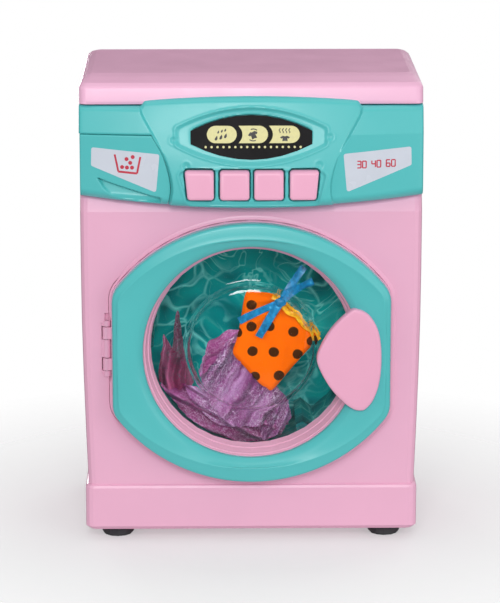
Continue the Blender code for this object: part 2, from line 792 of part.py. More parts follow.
def between(table, share):
    """Read a table of (share, value) pairs at a share, along a smooth curve through them."""
    share = min(1.0, max(0.0, share))
    place = 0
    while place < len(table) - 2 and share > table[place + 1][0]:
        place += 1
    (low, before), (high, after) = table[place], table[place + 1]
    first = table[max(0, place - 1)]
    last = table[min(len(table) - 1, place + 2)]
    rise_in = (after - first[1]) / (high - first[0]) * (high - low)
    rise_out = (last[1] - before) / (last[0] - low) * (high - low)
    t = (share - low) / (high - low)
    return (before * (2 * t ** 3 - 3 * t ** 2 + 1) + rise_in * (t ** 3 - 2 * t ** 2 + t)
            + after * (3 * t ** 2 - 2 * t ** 3) + rise_out * (t ** 3 - t ** 2))


def smooth_step(value):
    value = min(1.0, max(0.0, value))
    return value * value * (3.0 - 2.0 * value)


def body_half_width(z):
    """Half width of the cabinet's flank at height z: it swells a little upwards."""
    share = (z - PLINTH_TOP_Z) / (BODY_FULL_Z - PLINTH_TOP_Z)
    swell = math.sin(min(1.0, max(0.0, share)) * math.pi / 2)
    return BODY_LOW_HALF_WIDTH + (HALF_WIDTH - BODY_LOW_HALF_WIDTH) * swell


def corner_lift():
    """Height of the ring's upper corner centres above its middle."""
    arc = RING_ARC - RING_CORNER
    across = RING_HALF_WIDTH - RING_CORNER
    return math.sqrt(arc * arc - across * across) - RING_ARC + RING_HALF_HEIGHT


def door_outline(margin=0.0):
    """Door ring outline: arcs above and below, straight flanks and round corners."""
    half_width = RING_HALF_WIDTH + margin
    arc = RING_ARC + margin
    corner = RING_CORNER + margin
    sink = RING_ARC - RING_HALF_HEIGHT
    lift = corner_lift()
    bend = math.atan2(lift + sink, half_width - corner)
    eighth = RING_STEPS // 8
    quarter = [(half_width, lift * step / (eighth // 2)) for step in range(eighth // 2)]
    for step in range(eighth // 2):
        turn = bend * step / (eighth // 2)
        quarter.append((half_width - corner + corner * math.cos(turn), lift + corner * math.sin(turn)))
    for step in range(eighth):
        turn = bend + (math.pi / 2 - bend) * step / eighth
        quarter.append((arc * math.cos(turn), arc * math.sin(turn) - sink))
    top = (0.0, RING_HALF_HEIGHT + margin)
    half = quarter + [top] + [(-x, z) for x, z in reversed(quarter[1:])]
    low = [(x, -z) for x, z in reversed(half[1:])]
    outline = half + [(-half_width, 0.0)] + low
    return [(x, z + RING_Z) for x, z in outline]


def matching_circle(outline, radius):
    """Points of a circle about the ring's centre, one beside each outline point."""
    turns = [math.atan2(z - RING_Z, x) for x, z in outline]
    return [(radius * math.cos(turn), RING_Z + radius * math.sin(turn)) for turn in turns]


def blended(outline, inner, distance):
    """Move each outline point towards its inner one by a distance, or a rule for it."""
    moved = []
    for (x, z), (inner_x, inner_z) in zip(outline, inner):
        run = math.hypot(inner_x - x, inner_z - z)
        share = distance((x, z)) / run
        moved.append((x + (inner_x - x) * share, z + (inner_z - z) * share))
    return moved


def crest_inset(point):
    """How far the ring's highest line lies inside its outline."""
    rise = abs(point[1] - RING_Z) / math.hypot(point[0], point[1] - RING_Z)
    return CREST_SIDE_INSET + (CREST_TOP_INSET - CREST_SIDE_INSET) * rise * rise


def outline_from_shares(shares, centre, half_width, half_height):
    """An outline given as shares of its half sizes, turned anticlockwise."""
    points = [(centre[0] + half_width * across, centre[1] + half_height * up) for across, up in shares]
    area = sum(a[0] * b[1] - b[0] * a[1] for a, b in zip(points, points[1:] + points[:1]))
    return points if area > 0.0 else list(reversed(points))


def scaled(outline, distance):
    """Shrink an outline towards its middle by about a distance, or grow it if negative."""
    middle_x = sum(x for x, _ in outline) / len(outline)
    middle_z = sum(z for _, z in outline) / len(outline)
    reach = sum(math.hypot(x - middle_x, z - middle_z) for x, z in outline) / len(outline)
    share = 1.0 - distance / reach
    return [(middle_x + (x - middle_x) * share, middle_z + (z - middle_z) * share) for x, z in outline]


def rounded_corners(corners, radius, steps=2):
    """A polygon with its corners rounded off."""
    points = []
    for index, corner in enumerate(corners):
        here = Vector(corner)
        before = (Vector(corners[index - 1]) - here).normalized()
        after = (Vector(corners[(index + 1) % len(corners)]) - here).normalized()
        half = before.angle(after) / 2
        start = here + before * radius / math.tan(half)
        end = here + after * radius / math.tan(half)
        centre = here + (before + after).normalized() * radius / math.sin(half)
        for step in range(steps + 1):
            arm = (start - centre).lerp(end - centre, step / steps).normalized() * radius
            points.append(tuple(centre + arm))
    return points


def lens(half_width, half_height, centre_z):
    """The display's outline: bowed above and below, with blunt ends."""
    blunt = half_height * BLUNT_SHARE
    top = []
    for step in range(LENS_STEPS + 1):
        across = 1.0 - 2.0 * step / LENS_STEPS
        top.append((half_width * across, blunt + (half_height - blunt) * (1.0 - across * across)))
    outline = top + [(-x, -z) for x, z in top]
    return [(x, z + centre_z) for x, z in outline]


def seam_x(z):
    """Half width of the raised centre of the fascia at height z."""
    return SEAM_HALF_WIDTH * between(SEAM_SHARES, (z - FASCIA_LOW_Z) / (FASCIA_TOP_Z - FASCIA_LOW_Z))


def fascia_low_z(x):
    return FASCIA_LOW_Z + FASCIA_LOW_RISE * (x / HALF_WIDTH) ** 2


def fascia_top_z(x):
    """Top edge of the fascia: the raised centre is an arch above the wings."""
    share = abs(x) / SEAM_HALF_WIDTH
    if share >= 1.0:
        return FASCIA_TOP_Z
    return FASCIA_TOP_Z + ARCH_STEP + ARCH_RISE * (1.0 - share * share)


def fascia_lean(x, z):
    """How far the fascia leans back at a point, from its most proud line."""
    crest_z = FASCIA_LOW_Z + BOTTOM_BAND
    share = max(0.0, z - crest_z) / (FASCIA_TOP_Z - crest_z)
    centre = CENTRE_LEAN * share ** CENTRE_LEAN_POWER
    low = WING_LOWER_LEAN * min(1.0, max(0.0, z - FASCIA_LOW_Z) / (CREASE_Z - FASCIA_LOW_Z))
    high = WING_UPPER_LEAN * max(0.0, z - CREASE_Z) / (FASCIA_TOP_Z - CREASE_Z)
    raised = smooth_step((seam_x(z) - abs(x)) / (2 * SEAM_SOFTNESS) + 0.5)
    return raised * centre + (1.0 - raised) * (low + high)


def fascia_y(x, z):
    """Depth of the fascia's outer surface."""
    bow = CENTRE_PROUD - SEAM_STEP - WING_PROUD
    raised = smooth_step((seam_x(z) - abs(x)) / (2 * SEAM_SOFTNESS) + 0.5)
    proud = WING_PROUD + bow * (1.0 - (x / HALF_WIDTH) ** 2) + SEAM_STEP * raised
    low_share = min(1.0, max(0.0, z - fascia_low_z(x)) / BOTTOM_BAND)
    top_share = min(1.0, max(0.0, fascia_top_z(x) - z) / TOP_BAND)
    drop = BOTTOM_DROP * (1.0 - low_share) ** 2 + TOP_DROP * (1.0 - top_share) ** 2
    return FACE_Y - proud + fascia_lean(x, z) + drop


def fascia_inner_y(x, z):
    """Depth of the fascia's inner surface: flat across behind the raised centre."""
    if abs(x) < seam_x(z) - SEAM_SOFTNESS:
        return FACE_Y - CENTRE_PROUD + CENTRE_THICK + fascia_lean(0.0, z)
    return fascia_y(x, z) + WING_THICK


def fascia_heights(low, high):
    """Row heights between two edges of the fascia."""
    first = low + BOTTOM_BAND / 2
    start = low + BOTTOM_BAND
    crease = min(CREASE_Z, high - TOP_BAND)
    rows = [low, first]
    rows += [start + (crease - start) * step / LOWER_ROWS for step in range(LOWER_ROWS + 1)]
    if high > CREASE_Z + TOP_BAND:
        end = high - TOP_BAND
        rows += [crease + (end - crease) * (step + 1) / UPPER_ROWS for step in range(UPPER_ROWS)]
        rows += [high - TOP_BAND / 2]
    rows.append(high)
    return rows


def settled(x, place_at, heights_at, level):
    """The point of a grid whose columns follow the seam and whose rows follow the edges."""
    for _ in range(4):
        z = heights_at(x)[level]
        x = place_at(z)
    return (x, heights_at(x)[level])


def fascia_columns(z):
    """Places across the fascia at height z, closer beside the two seams."""
    seam = seam_x(z)
    stops = [(-HALF_WIDTH, -seam - SEAM_SOFTNESS, WING_COLUMNS), (-seam - SEAM_SOFTNESS, -seam, 1),
             (-seam, -seam + SEAM_SOFTNESS, 1), (-seam + SEAM_SOFTNESS, seam - SEAM_SOFTNESS,
                                                 CENTRE_COLUMNS),
             (seam - SEAM_SOFTNESS, seam, 1), (seam, seam + SEAM_SOFTNESS, 1),
             (seam + SEAM_SOFTNESS, HALF_WIDTH, WING_COLUMNS)]
    places = [-HALF_WIDTH]
    for start, end, count in stops:
        places += [start + (end - start) * (step + 1) / count for step in range(count)]
    return places


def shell_from_grid(name, grid, finish):
    """A shell open at the back, from rows of (x, z) points on the fascia's surface."""
    rows = len(grid)
    columns = len(grid[0])
    outer = [(x, fascia_y(x, z), z) for row in grid for x, z in row]
    inner = []
    for place, row in enumerate(grid):
        for spot, (x, z) in enumerate(row):
            inner_x = min(max(x, row[0][0] + FASCIA_WALL), row[-1][0] - FASCIA_WALL)
            inner_z = min(max(z, grid[0][spot][1] + FASCIA_WALL), grid[-1][spot][1] - FASCIA_WALL)
            inner.append((inner_x, fascia_inner_y(x, inner_z), inner_z))
    border = list(range(columns))
    border += [row * columns + columns - 1 for row in range(1, rows)]
    border += [(rows - 1) * columns + spot for spot in range(columns - 2, -1, -1)]
    border += [row * columns for row in range(rows - 2, 0, -1)]
    outer_back = [(outer[i][0], UPPER_FACE_Y - FIT_GAP, outer[i][2]) for i in border]
    inner_back = [(inner[i][0], UPPER_FACE_Y - FIT_GAP, inner[i][2]) for i in border]
    shift = len(outer)
    points = outer + inner + outer_back + inner_back
    faces = []
    for row in range(rows - 1):
        for spot in range(columns - 1):
            low = row * columns + spot
            high = low + columns
            faces.append((low, low + 1, high + 1, high))
            faces.append((shift + low, shift + high, shift + high + 1, shift + low + 1))
    back = 2 * shift
    deep = back + len(border)
    for step, here in enumerate(border):
        after = (step + 1) % len(border)
        ahead = border[after]
        faces.append((here, back + step, back + after, ahead))
        faces.append((shift + here, shift + ahead, deep + after, deep + step))
        faces.append((back + step, deep + step, deep + after, back + after))
    shell = mesh_object(name, points, faces, finish, SMOOTH)
    low = FASCIA_LOW_Z - CUT_OVERRUN
    deep_y = UPPER_FACE_Y + CUT_OVERRUN
    slope = (SHOULDER_TOP_Y - FACE_Y) / (SHOULDER_TOP_Z - SHOULDER_Z)
    low_y = SHOULDER_TOP_Y - slope * (SHOULDER_TOP_Z - low) - FIT_GAP
    profile = [(deep_y, low), (deep_y, LEDGE_Z + FIT_GAP), (UPPER_FACE_Y - FIT_GAP, LEDGE_Z + FIT_GAP),
               (SHOULDER_TOP_Y - FIT_GAP, SHOULDER_TOP_Z + FIT_GAP), (low_y, low)]
    loops = [[(side * (HALF_WIDTH + CUT_OVERRUN), y, z) for y, z in profile] for side in (-1, 1)]
    return cut(shell, loft(f"cut_shoulder_{name}", loops, None, smooth=0.0))


def make_cabinet():
    """Pink cabinet: floor, flanks, front with the door port, and the frame behind the fascia."""
    plinth = BODY_LOW_HALF_WIDTH + PLINTH_PROUD
    plinth_y = FACE_Y - PLINTH_PROUD
    loops = [plan_loop(plinth - BASE_CHAMFER, plinth_y + BASE_CHAMFER, BACK_Y - BASE_CHAMFER,
                       BODY_CORNER, FOOT_HEIGHT),
             plan_loop(plinth, plinth_y, BACK_Y, BODY_CORNER, FOOT_HEIGHT + BASE_CHAMFER),
             plan_loop(plinth, plinth_y, BACK_Y, BODY_CORNER, PLINTH_TOP_Z - PLINTH_ROUND),
             plan_loop(plinth - PLINTH_PROUD / 3, plinth_y + PLINTH_PROUD / 3, BACK_Y,
                       BODY_CORNER, PLINTH_TOP_Z - PLINTH_ROUND / 4),
             plan_loop(BODY_LOW_HALF_WIDTH, FACE_Y, BACK_Y, BODY_CORNER, PLINTH_TOP_Z)]
    for level in range(1, BODY_LEVELS + 1):
        z = PLINTH_TOP_Z + (SHOULDER_Z - PLINTH_TOP_Z) * level / BODY_LEVELS
        loops.append(plan_loop(body_half_width(z), FACE_Y, BACK_Y, BODY_CORNER, z))
    loops += [plan_loop(HALF_WIDTH, SHOULDER_TOP_Y, BACK_Y, BODY_CORNER, SHOULDER_TOP_Z),
              plan_loop(HALF_WIDTH, UPPER_FACE_Y, BACK_Y, UPPER_CORNER, LEDGE_Z),
              plan_loop(HALF_WIDTH, UPPER_FACE_Y, BACK_Y, UPPER_CORNER, BODY_TOP_Z)]
    inside = HALF_WIDTH - WALL
    inside_back = BACK_Y - WALL
    thin = UPPER_CORNER / 2
    loops += [plan_loop(inside, UPPER_FACE_Y + WALL, inside_back, thin, BODY_TOP_Z),
              plan_loop(inside, UPPER_FACE_Y + WALL, inside_back, thin, LEDGE_Z - WALL),
              plan_loop(inside, SHOULDER_TOP_Y + WALL, inside_back, thin, SHOULDER_TOP_Z - WALL),
              plan_loop(inside, FACE_Y + FRONT_WALL, inside_back, BODY_CORNER, SHOULDER_Z - WALL)]
    for level in range(BODY_LEVELS - 1, -1, -1):
        z = PLINTH_TOP_Z + (SHOULDER_Z - WALL - PLINTH_TOP_Z) * level / BODY_LEVELS
        loops.append(plan_loop(body_half_width(z) - WALL, FACE_Y + FRONT_WALL, inside_back, BODY_CORNER,
                               z))
    loops.append(plan_loop(BODY_LOW_HALF_WIDTH - WALL, FACE_Y + FRONT_WALL, inside_back, BODY_CORNER,
                           FOOT_HEIGHT + WALL))
    cabinet = loft("cabinet_shell", loops, pink_plastic())

    recess = prism("cut_door_recess", door_outline(BACK_RING_MARGIN + RECESS_CLEARANCE),
                   FACE_Y - CUT_OVERRUN, FACE_Y + RECESS_DEPTH, None)
    port = rod("cut_port", PORT_RADIUS, FACE_Y - CUT_OVERRUN, FACE_Y + FRONT_WALL + CUT_OVERRUN, None,
               steps=RING_STEPS, centre=(0.0, RING_Z))
    rear = prism("cut_rear", rounded_rectangle(REAR_OPENING_HALF_WIDTH,
                                               (REAR_OPENING_TOP_Z - REAR_OPENING_LOW_Z) / 2,
                                               REAR_OPENING_CORNER,
                                               (0.0, (REAR_OPENING_TOP_Z + REAR_OPENING_LOW_Z) / 2)),
                 BACK_Y - WALL - CUT_OVERRUN, BACK_Y + CUT_OVERRUN, None)
    cut(cabinet, recess, port, rear)

    board_hole = box("cut_board_opening",
                     (-BOARD_OPENING_HALF_WIDTH, UPPER_FACE_Y - CUT_OVERRUN, BOARD_OPENING_LOW_Z),
                     (BOARD_OPENING_HALF_WIDTH, UPPER_FACE_Y + WALL + CUT_OVERRUN, BOARD_OPENING_TOP_Z),
                     None)
    reach = GUIDE_CLEARANCE
    drawer_hole = box("cut_drawer_opening",
                      (TRAY_LEFT_X - reach, UPPER_FACE_Y - CUT_OVERRUN, TRAY_LOW_Z - reach),
                      (TRAY_RIGHT_X + reach, UPPER_FACE_Y + WALL + CUT_OVERRUN, TRAY_TOP_Z + reach), None)
    cut(cabinet, board_hole, drawer_hole)

    lug_half = KNUCKLE_OFFSET + KNUCKLE_LENGTH / 2 + KNUCKLE_CLEARANCE
    lug = post("join_hinge_lugs", LUG_RADIUS, HINGE_MID_Z - lug_half - END_LUG_LENGTH,
               HINGE_MID_Z + lug_half + END_LUG_LENGTH, None, HINGE_STEPS, (HINGE_X, HINGE_Y))
    join(cabinet, lug)
    for side in (-1, 1):
        middle = HINGE_MID_Z + side * KNUCKLE_OFFSET
        reach = KNUCKLE_RADIUS + KNUCKLE_CLEARANCE
        half = KNUCKLE_LENGTH / 2 + KNUCKLE_CLEARANCE
        cut(cabinet, box(f"cut_knuckle_{side}", (HINGE_X - reach, FACE_Y - CUT_OVERRUN, middle - half),
                         (HINGE_X + 2 * reach, HINGE_Y + reach, middle + half), None))
    cut(cabinet, post("cut_hinge_bore", HINGE_PIN_RADIUS + FIT_GAP,
                      HINGE_MID_Z - lug_half - END_LUG_LENGTH + KNUCKLE_CLEARANCE,
                      HINGE_MID_Z + lug_half + END_LUG_LENGTH + CUT_OVERRUN, None,
                      HINGE_STEPS, (HINGE_X, HINGE_Y)))
    for side in (-1, 1):
        middle = RING_Z + side * LATCH_OFFSET_Z
        across = LATCH_THICK / 2 + LATCH_CLEARANCE
        half = LATCH_HEIGHT / 2 + LATCH_CLEARANCE
        cut(cabinet, box(f"cut_latch_{side}", (LATCH_X - across, FACE_Y - CUT_OVERRUN, middle - half),
                         (LATCH_X + across, FACE_Y + FRONT_WALL + CUT_OVERRUN, middle + half), None))

    for place, (x, z) in enumerate(plate_corners()):
        stand = rod(f"join_post_{place}", POST_RADIUS, FACE_Y + RECESS_DEPTH + WALL / 2,
                    PLATE_Y - FIT_GAP, None, HINGE_STEPS, (x, z))
        join(cabinet, stand)
        if z > RING_Z:
            cut(cabinet, rod(f"cut_post_{place}", SCREW_RADIUS + FIT_GAP, PLATE_Y - SCREW_LENGTH, PLATE_Y,
                             None, SCREW_STEPS, (x, z)))
        else:
            join(cabinet, rod(f"join_pin_{place}", SCREW_RADIUS, PLATE_Y - SCREW_RADIUS,
                              PLATE_Y + PLATE_THICK,
                              None, SCREW_STEPS, (x, z)))
    for place, (x, z) in enumerate(case_screw_places()):
        boss = rod(f"join_boss_{place}", CASE_BOSS_RADIUS, BACK_Y - CASE_BOSS_LENGTH, BACK_Y - WALL / 2,
                   None, HINGE_STEPS, (x, z))
        join(cabinet, boss)
        cut(cabinet, rod(f"cut_boss_{place}", SCREW_RADIUS + FIT_GAP,
                         BACK_Y - CASE_BOSS_LENGTH - CUT_OVERRUN,
                         BACK_Y + CUT_OVERRUN, None, SCREW_STEPS, (x, z)))
    for place, (x, z) in enumerate(panel_screw_places()):
        cut(cabinet, rod(f"cut_panel_screw_{place}", SCREW_RADIUS + FIT_GAP, UPPER_FACE_Y - CUT_OVERRUN,
                         UPPER_FACE_Y + WALL + CUT_OVERRUN, None, SCREW_STEPS, (x, z)))
    for place, (x, y) in enumerate(foot_places()):
        cut(cabinet, post(f"cut_foot_{place}", FOOT_STEM_RADIUS + FIT_GAP, FOOT_HEIGHT - CUT_OVERRUN,
                          FOOT_HEIGHT + WALL + CUT_OVERRUN, None, HINGE_STEPS, (x, y)))


def plate_corners():
    return [(side * POST_X, RING_Z + end * POST_OFFSET_Z) for side in (-1, 1) for end in (-1, 1)]


def case_screw_places():
    return [(side * CASE_SCREW_X, z) for side in (-1, 1) for z in (CASE_SCREW_LOW_Z, CASE_SCREW_TOP_Z)]


def panel_screw_places():
    return [(side * PANEL_POST_X, PANEL_POST_Z) for side in (-1, 1)]


def foot_places():
    return [(side * FOOT_X, y) for y in (FOOT_FRONT_Y, FOOT_BACK_Y) for side in (-1, 1)]


def make_feet():
    """Four rubber feet, each with a stem pushed into the floor."""
    for number, place in enumerate(foot_places(), start=1):
        sizes = [(FOOT_RADIUS - FOOT_TOE, 0.0), (FOOT_RADIUS, FOOT_TOE),
                 (FOOT_RADIUS, FOOT_HEIGHT - FIT_GAP),
                 (FOOT_STEM_RADIUS, FOOT_HEIGHT - FIT_GAP), (FOOT_STEM_RADIUS,
                                                             FOOT_HEIGHT + FOOT_STEM_LENGTH)]
        loops = [[(x, y, z) for x, y in circle(radius, HINGE_STEPS, place)] for radius, z in sizes]
        loft(f"foot_{number}", loops, rubber())


def screw(name, centre, seat, length=SCREW_LENGTH):
    """A pan head screw along Y, its head behind the seat and its point towards the front."""
    profile = [(0.0, SCREW_HEAD_HEIGHT), (SCREW_HEAD_RADIUS * SCREW_CROWN_SHARE, SCREW_HEAD_HEIGHT),
               (SCREW_HEAD_RADIUS, SCREW_HEAD_HEIGHT / 2), (SCREW_HEAD_RADIUS, 0.0),
               (SCREW_RADIUS, 0.0), (SCREW_RADIUS, SCREW_RADIUS - length), (0.0, -length)]
    return turned(name, [(radius, seat + y) for radius, y in profile], steel(), SCREW_STEPS, centre)


def make_top_cover():
    """Pink lid: upright lip in front, soft bends, flat top and a skirt inside the cabinet."""
    side_1, side_2, side_3 = COVER_SIDE_INSETS
    skirt = HALF_WIDTH - WALL - SKIRT_CLEARANCE
    skirt_front = UPPER_FACE_Y + WALL + SKIRT_CLEARANCE
    skirt_back = BACK_Y - WALL - SKIRT_CLEARANCE
    thin = COVER_WALL
    inner = [(HALF_WIDTH - side_3 - thin, LIP_Y + COVER_FLAT_INSET + thin, BACK_Y - side_3 - thin,
              TOTAL_HEIGHT - thin),
             (HALF_WIDTH - side_2 - thin, LIP_Y + COVER_FOLD_INSET + thin, BACK_Y - side_2 - thin,
              COVER_FOLD_Z - thin),
             (HALF_WIDTH - side_1 - thin, LIP_Y + COVER_BEND_INSET + thin, BACK_Y - side_1 - thin,
              COVER_BEND_Z - thin),
             (HALF_WIDTH - thin, LIP_Y + thin, BACK_Y - thin, LIP_TOP_Z - thin),
             (HALF_WIDTH - thin, LIP_Y + thin, BACK_Y - thin, LIP_LOW_Z + thin),
             (skirt - thin, skirt_front + thin, skirt_back - thin, LIP_LOW_Z + thin),
             (skirt - thin, skirt_front + thin, skirt_back - thin, LIP_LOW_Z - SKIRT_DEPTH)]
    outer = [(skirt, skirt_front, skirt_back, LIP_LOW_Z - SKIRT_DEPTH),
             (skirt, skirt_front, skirt_back, LIP_LOW_Z),
             (HALF_WIDTH, LIP_Y, BACK_Y, LIP_LOW_Z),
             (HALF_WIDTH, LIP_Y, BACK_Y, LIP_TOP_Z),
             (HALF_WIDTH - side_1, LIP_Y + COVER_BEND_INSET, BACK_Y - side_1, COVER_BEND_Z),
             (HALF_WIDTH - side_2, LIP_Y + COVER_FOLD_INSET, BACK_Y - side_2, COVER_FOLD_Z),
             (HALF_WIDTH - side_3, LIP_Y + COVER_FLAT_INSET, BACK_Y - side_3, TOTAL_HEIGHT)]
    loops = [plan_loop(half, front, back, COVER_CORNER / 2, z) for half, front, back, z in inner]
    loops += [plan_loop(half, front, back, COVER_CORNER / 2 if place < 2 else COVER_CORNER, z)
              for place, (half, front, back, z) in enumerate(outer)]
    loft("top_cover", loops, pink_plastic())


def make_rear_cover():
    """Pink back plate with vents, a speaker grille, a switch slot and the battery opening."""
    half_width = REAR_OPENING_HALF_WIDTH + REAR_COVER_OVERLAP
    half_height = (REAR_OPENING_TOP_Z - REAR_OPENING_LOW_Z) / 2 + REAR_COVER_OVERLAP
    middle = (0.0, (REAR_OPENING_TOP_Z + REAR_OPENING_LOW_Z) / 2)
    outline = rounded_rectangle(half_width, half_height, REAR_COVER_CORNER, middle)
    inset = rounded_rectangle(half_width - REAR_COVER_EDGE, half_height - REAR_COVER_EDGE,
                              REAR_COVER_CORNER - REAR_COVER_EDGE, middle)
    inner_y = BACK_Y + FIT_GAP
    cover = loft("rear_cover", [facing(inset, FRONT_REACH), facing(outline,
                                                                   FRONT_REACH - REAR_COVER_EDGE),
                                facing(outline, inner_y)], pink_plastic())
    front = inner_y - CUT_OVERRUN
    back = FRONT_REACH + CUT_OVERRUN
    for place, (x, z) in enumerate(case_screw_places()):
        cut(cover, rod(f"cut_cover_screw_{place}", SCREW_RADIUS + FIT_GAP, front, back, None,
                       SCREW_STEPS, (x, z)))
        cut(cover, rod(f"cut_cover_head_{place}", SCREW_HEAD_RADIUS + FIT_GAP,
                       FRONT_REACH - SCREW_HEAD_HEIGHT - SCREW_SUNK, back, None, SCREW_STEPS, (x, z)))
    for row in range(VENT_COUNT):
        slot = rounded_rectangle(VENT_HALF_WIDTH, VENT_HALF_HEIGHT, VENT_HALF_HEIGHT * VENT_ROUND_SHARE,
                                 (0.0, VENT_LOW_Z + row * VENT_PITCH), VENT_STEPS)
        cut(cover, prism(f"cut_vent_{row}", slot, front, back, None))
    for ring, count in enumerate(GRILLE_COUNTS):
        for step in range(count):
            turn = 2 * math.pi * step / count
            spot = (SPEAKER_X + ring * GRILLE_PITCH * math.cos(turn),
                    SPEAKER_Z + ring * GRILLE_PITCH * math.sin(turn))
            cut(cover, rod(f"cut_grille_{ring}_{step}", GRILLE_HOLE, front, back, None, GRILLE_STEPS,
                           spot))
    slot = box("cut_knob_slot",
               (KNOB_X - KNOB_HALF_WIDTH - KNOB_CLEARANCE, front,
                KNOB_Z - KNOB_HALF_HEIGHT - KNOB_CLEARANCE),
               (KNOB_X + KNOB_HALF_WIDTH + KNOB_TRAVEL + KNOB_CLEARANCE, back,
                KNOB_Z + KNOB_HALF_HEIGHT + KNOB_CLEARANCE), None)
    cut(cover, slot)
    cut(cover, prism("cut_battery_door", battery_door_outline(BATTERY_DOOR_CLEARANCE), front, back, None))


def cavity_half_width():
    return CELL_LENGTH / 2 + BOX_MARGIN_X


def cavity_heights():
    """Lowest and highest points of the space for the cells."""
    low = BOX_LOW_Z + BOX_WALL
    return low, low + 2 * BOX_MARGIN_Z + 2 * CELL_RADIUS + (CELL_COUNT - 1) * CELL_PITCH


def battery_door_outline(clearance=0.0):
    """The battery door's outline: a rectangle with an ear for its screw on top."""
    low, high = cavity_heights()
    half = cavity_half_width() + BATTERY_DOOR_REST - BATTERY_DOOR_CLEARANCE + clearance
    low = low - BATTERY_DOOR_REST + BATTERY_DOOR_CLEARANCE - clearance
    high = high + BATTERY_DOOR_REST - BATTERY_DOOR_CLEARANCE + clearance
    ear = BATTERY_DOOR_EAR_HALF + clearance
    top = high + BATTERY_DOOR_EAR
    return [(half, low), (half, high), (ear, high), (ear, top), (-ear, top), (-ear, high),
            (-half, high), (-half, low)]


def battery_screw_place():
    return (0.0, cavity_heights()[1] + BATTERY_DOOR_REST + BATTERY_DOOR_EAR / 2)


def make_batteries():
    """Battery box, three cells and the screwed door."""
    low, high = cavity_heights()
    half = cavity_half_width()
    back = BACK_Y
    deep = back - BOX_DEPTH
    case = box("battery_box", (-half - BOX_WALL, deep, low - BOX_WALL),
               (half + BOX_WALL, back, high + BOX_WALL),
               grey_plastic())
    top = high + BATTERY_DOOR_REST + BATTERY_DOOR_EAR + BOX_WALL
    join(case, box("join_box_flange", (-half - BOX_WALL - BOX_FLANGE, back - BOX_WALL,
                                       low - BOX_WALL - BOX_FLANGE),
                   (half + BOX_WALL + BOX_FLANGE, back - FIT_GAP / 3, top), None))
    cut(case, box("cut_box", (-half, deep + BOX_WALL, low), (half, back + CUT_OVERRUN, high), None))
    cut(case, rod("cut_box_screw", SCREW_RADIUS + FIT_GAP, back - BOX_WALL - CUT_OVERRUN,
                  back + CUT_OVERRUN,
                  None, SCREW_STEPS, battery_screw_place()))
    cell_y = deep + BOX_WALL + FIT_GAP + CELL_RADIUS
    for number in range(CELL_COUNT):
        z = low + BOX_MARGIN_Z + CELL_RADIUS + number * CELL_PITCH
        start = -CELL_LENGTH / 2
        end = CELL_LENGTH / 2
        profile = [(0.0, end), (CELL_NUB_RADIUS, end), (CELL_NUB_RADIUS, end - CELL_NUB_LENGTH),
                   (CELL_RADIUS - CELL_RIM, end - CELL_NUB_LENGTH),
                   (CELL_RADIUS, end - CELL_NUB_LENGTH - CELL_RIM),
                   (CELL_RADIUS, start + CELL_RIM), (CELL_RADIUS - CELL_RIM, start), (0.0, start)]
        cell = turned(f"battery_{number + 1}", profile, cell_wrap(), CELL_STEPS)
        quarter = math.pi / 2 if number % 2 else -math.pi / 2
        cell.matrix_world = Matrix.Translation((0.0, cell_y, z)) @ Matrix.Rotation(quarter, 4, 'Z')
    outer = FRONT_REACH - BATTERY_DOOR_SUNK
    door = prism("battery_door", battery_door_outline(), back + FIT_GAP, outer, pink_plastic(),
                 smooth=0.0)
    for row in range(GROOVE_COUNT):
        z = (low + high) / 2 + (row - (GROOVE_COUNT - 1) / 2) * GROOVE_PITCH
        cut(door, box(f"cut_groove_{row}", (-GROOVE_HALF_LENGTH, outer - GROOVE_DEPTH,
                                            z - GROOVE_WIDTH / 2),
                      (GROOVE_HALF_LENGTH, outer + CUT_OVERRUN, z + GROOVE_WIDTH / 2), None))
    place = battery_screw_place()
    cut(door, rod("cut_door_screw", SCREW_RADIUS + FIT_GAP, back - CUT_OVERRUN, outer + CUT_OVERRUN, None,
                  SCREW_STEPS, place))
    cut(door, rod("cut_door_head", SCREW_HEAD_RADIUS + FIT_GAP, outer - SCREW_HEAD_HEIGHT - SCREW_SUNK,
                  outer + CUT_OVERRUN, None, SCREW_STEPS, place))


def make_screws():
    """Screws of the rear cover, the fascia, the drive plate and the door ring."""
    seat = FRONT_REACH - SCREW_HEAD_HEIGHT - SCREW_SUNK + SCREW_SEAT_GAP
    for number, place in enumerate(case_screw_places(), start=1):
        screw(f"case_screw_{number}", place, seat)
    for number, place in enumerate(panel_screw_places(), start=1):
        screw(f"panel_screw_{number}", place, UPPER_FACE_Y + WALL + FIT_GAP)
    for number, place in enumerate(plate_corners()[1::2], start=1):
        screw(f"plate_screw_{number}", place, PLATE_Y + PLATE_THICK + FIT_GAP)
    sunk = RING_BACK_Y + BACK_RING_THICK - SCREW_HEAD_HEIGHT + SCREW_SEAT_GAP
    for number, place in enumerate(door_screw_places(), start=1):
        screw(f"door_screw_{number}", place, sunk, DOOR_SCREW_LENGTH)
    battery_seat = FRONT_REACH - BATTERY_DOOR_SUNK - SCREW_HEAD_HEIGHT - SCREW_SUNK + SCREW_SEAT_GAP
    screw("battery_door_screw", battery_screw_place(), battery_seat)


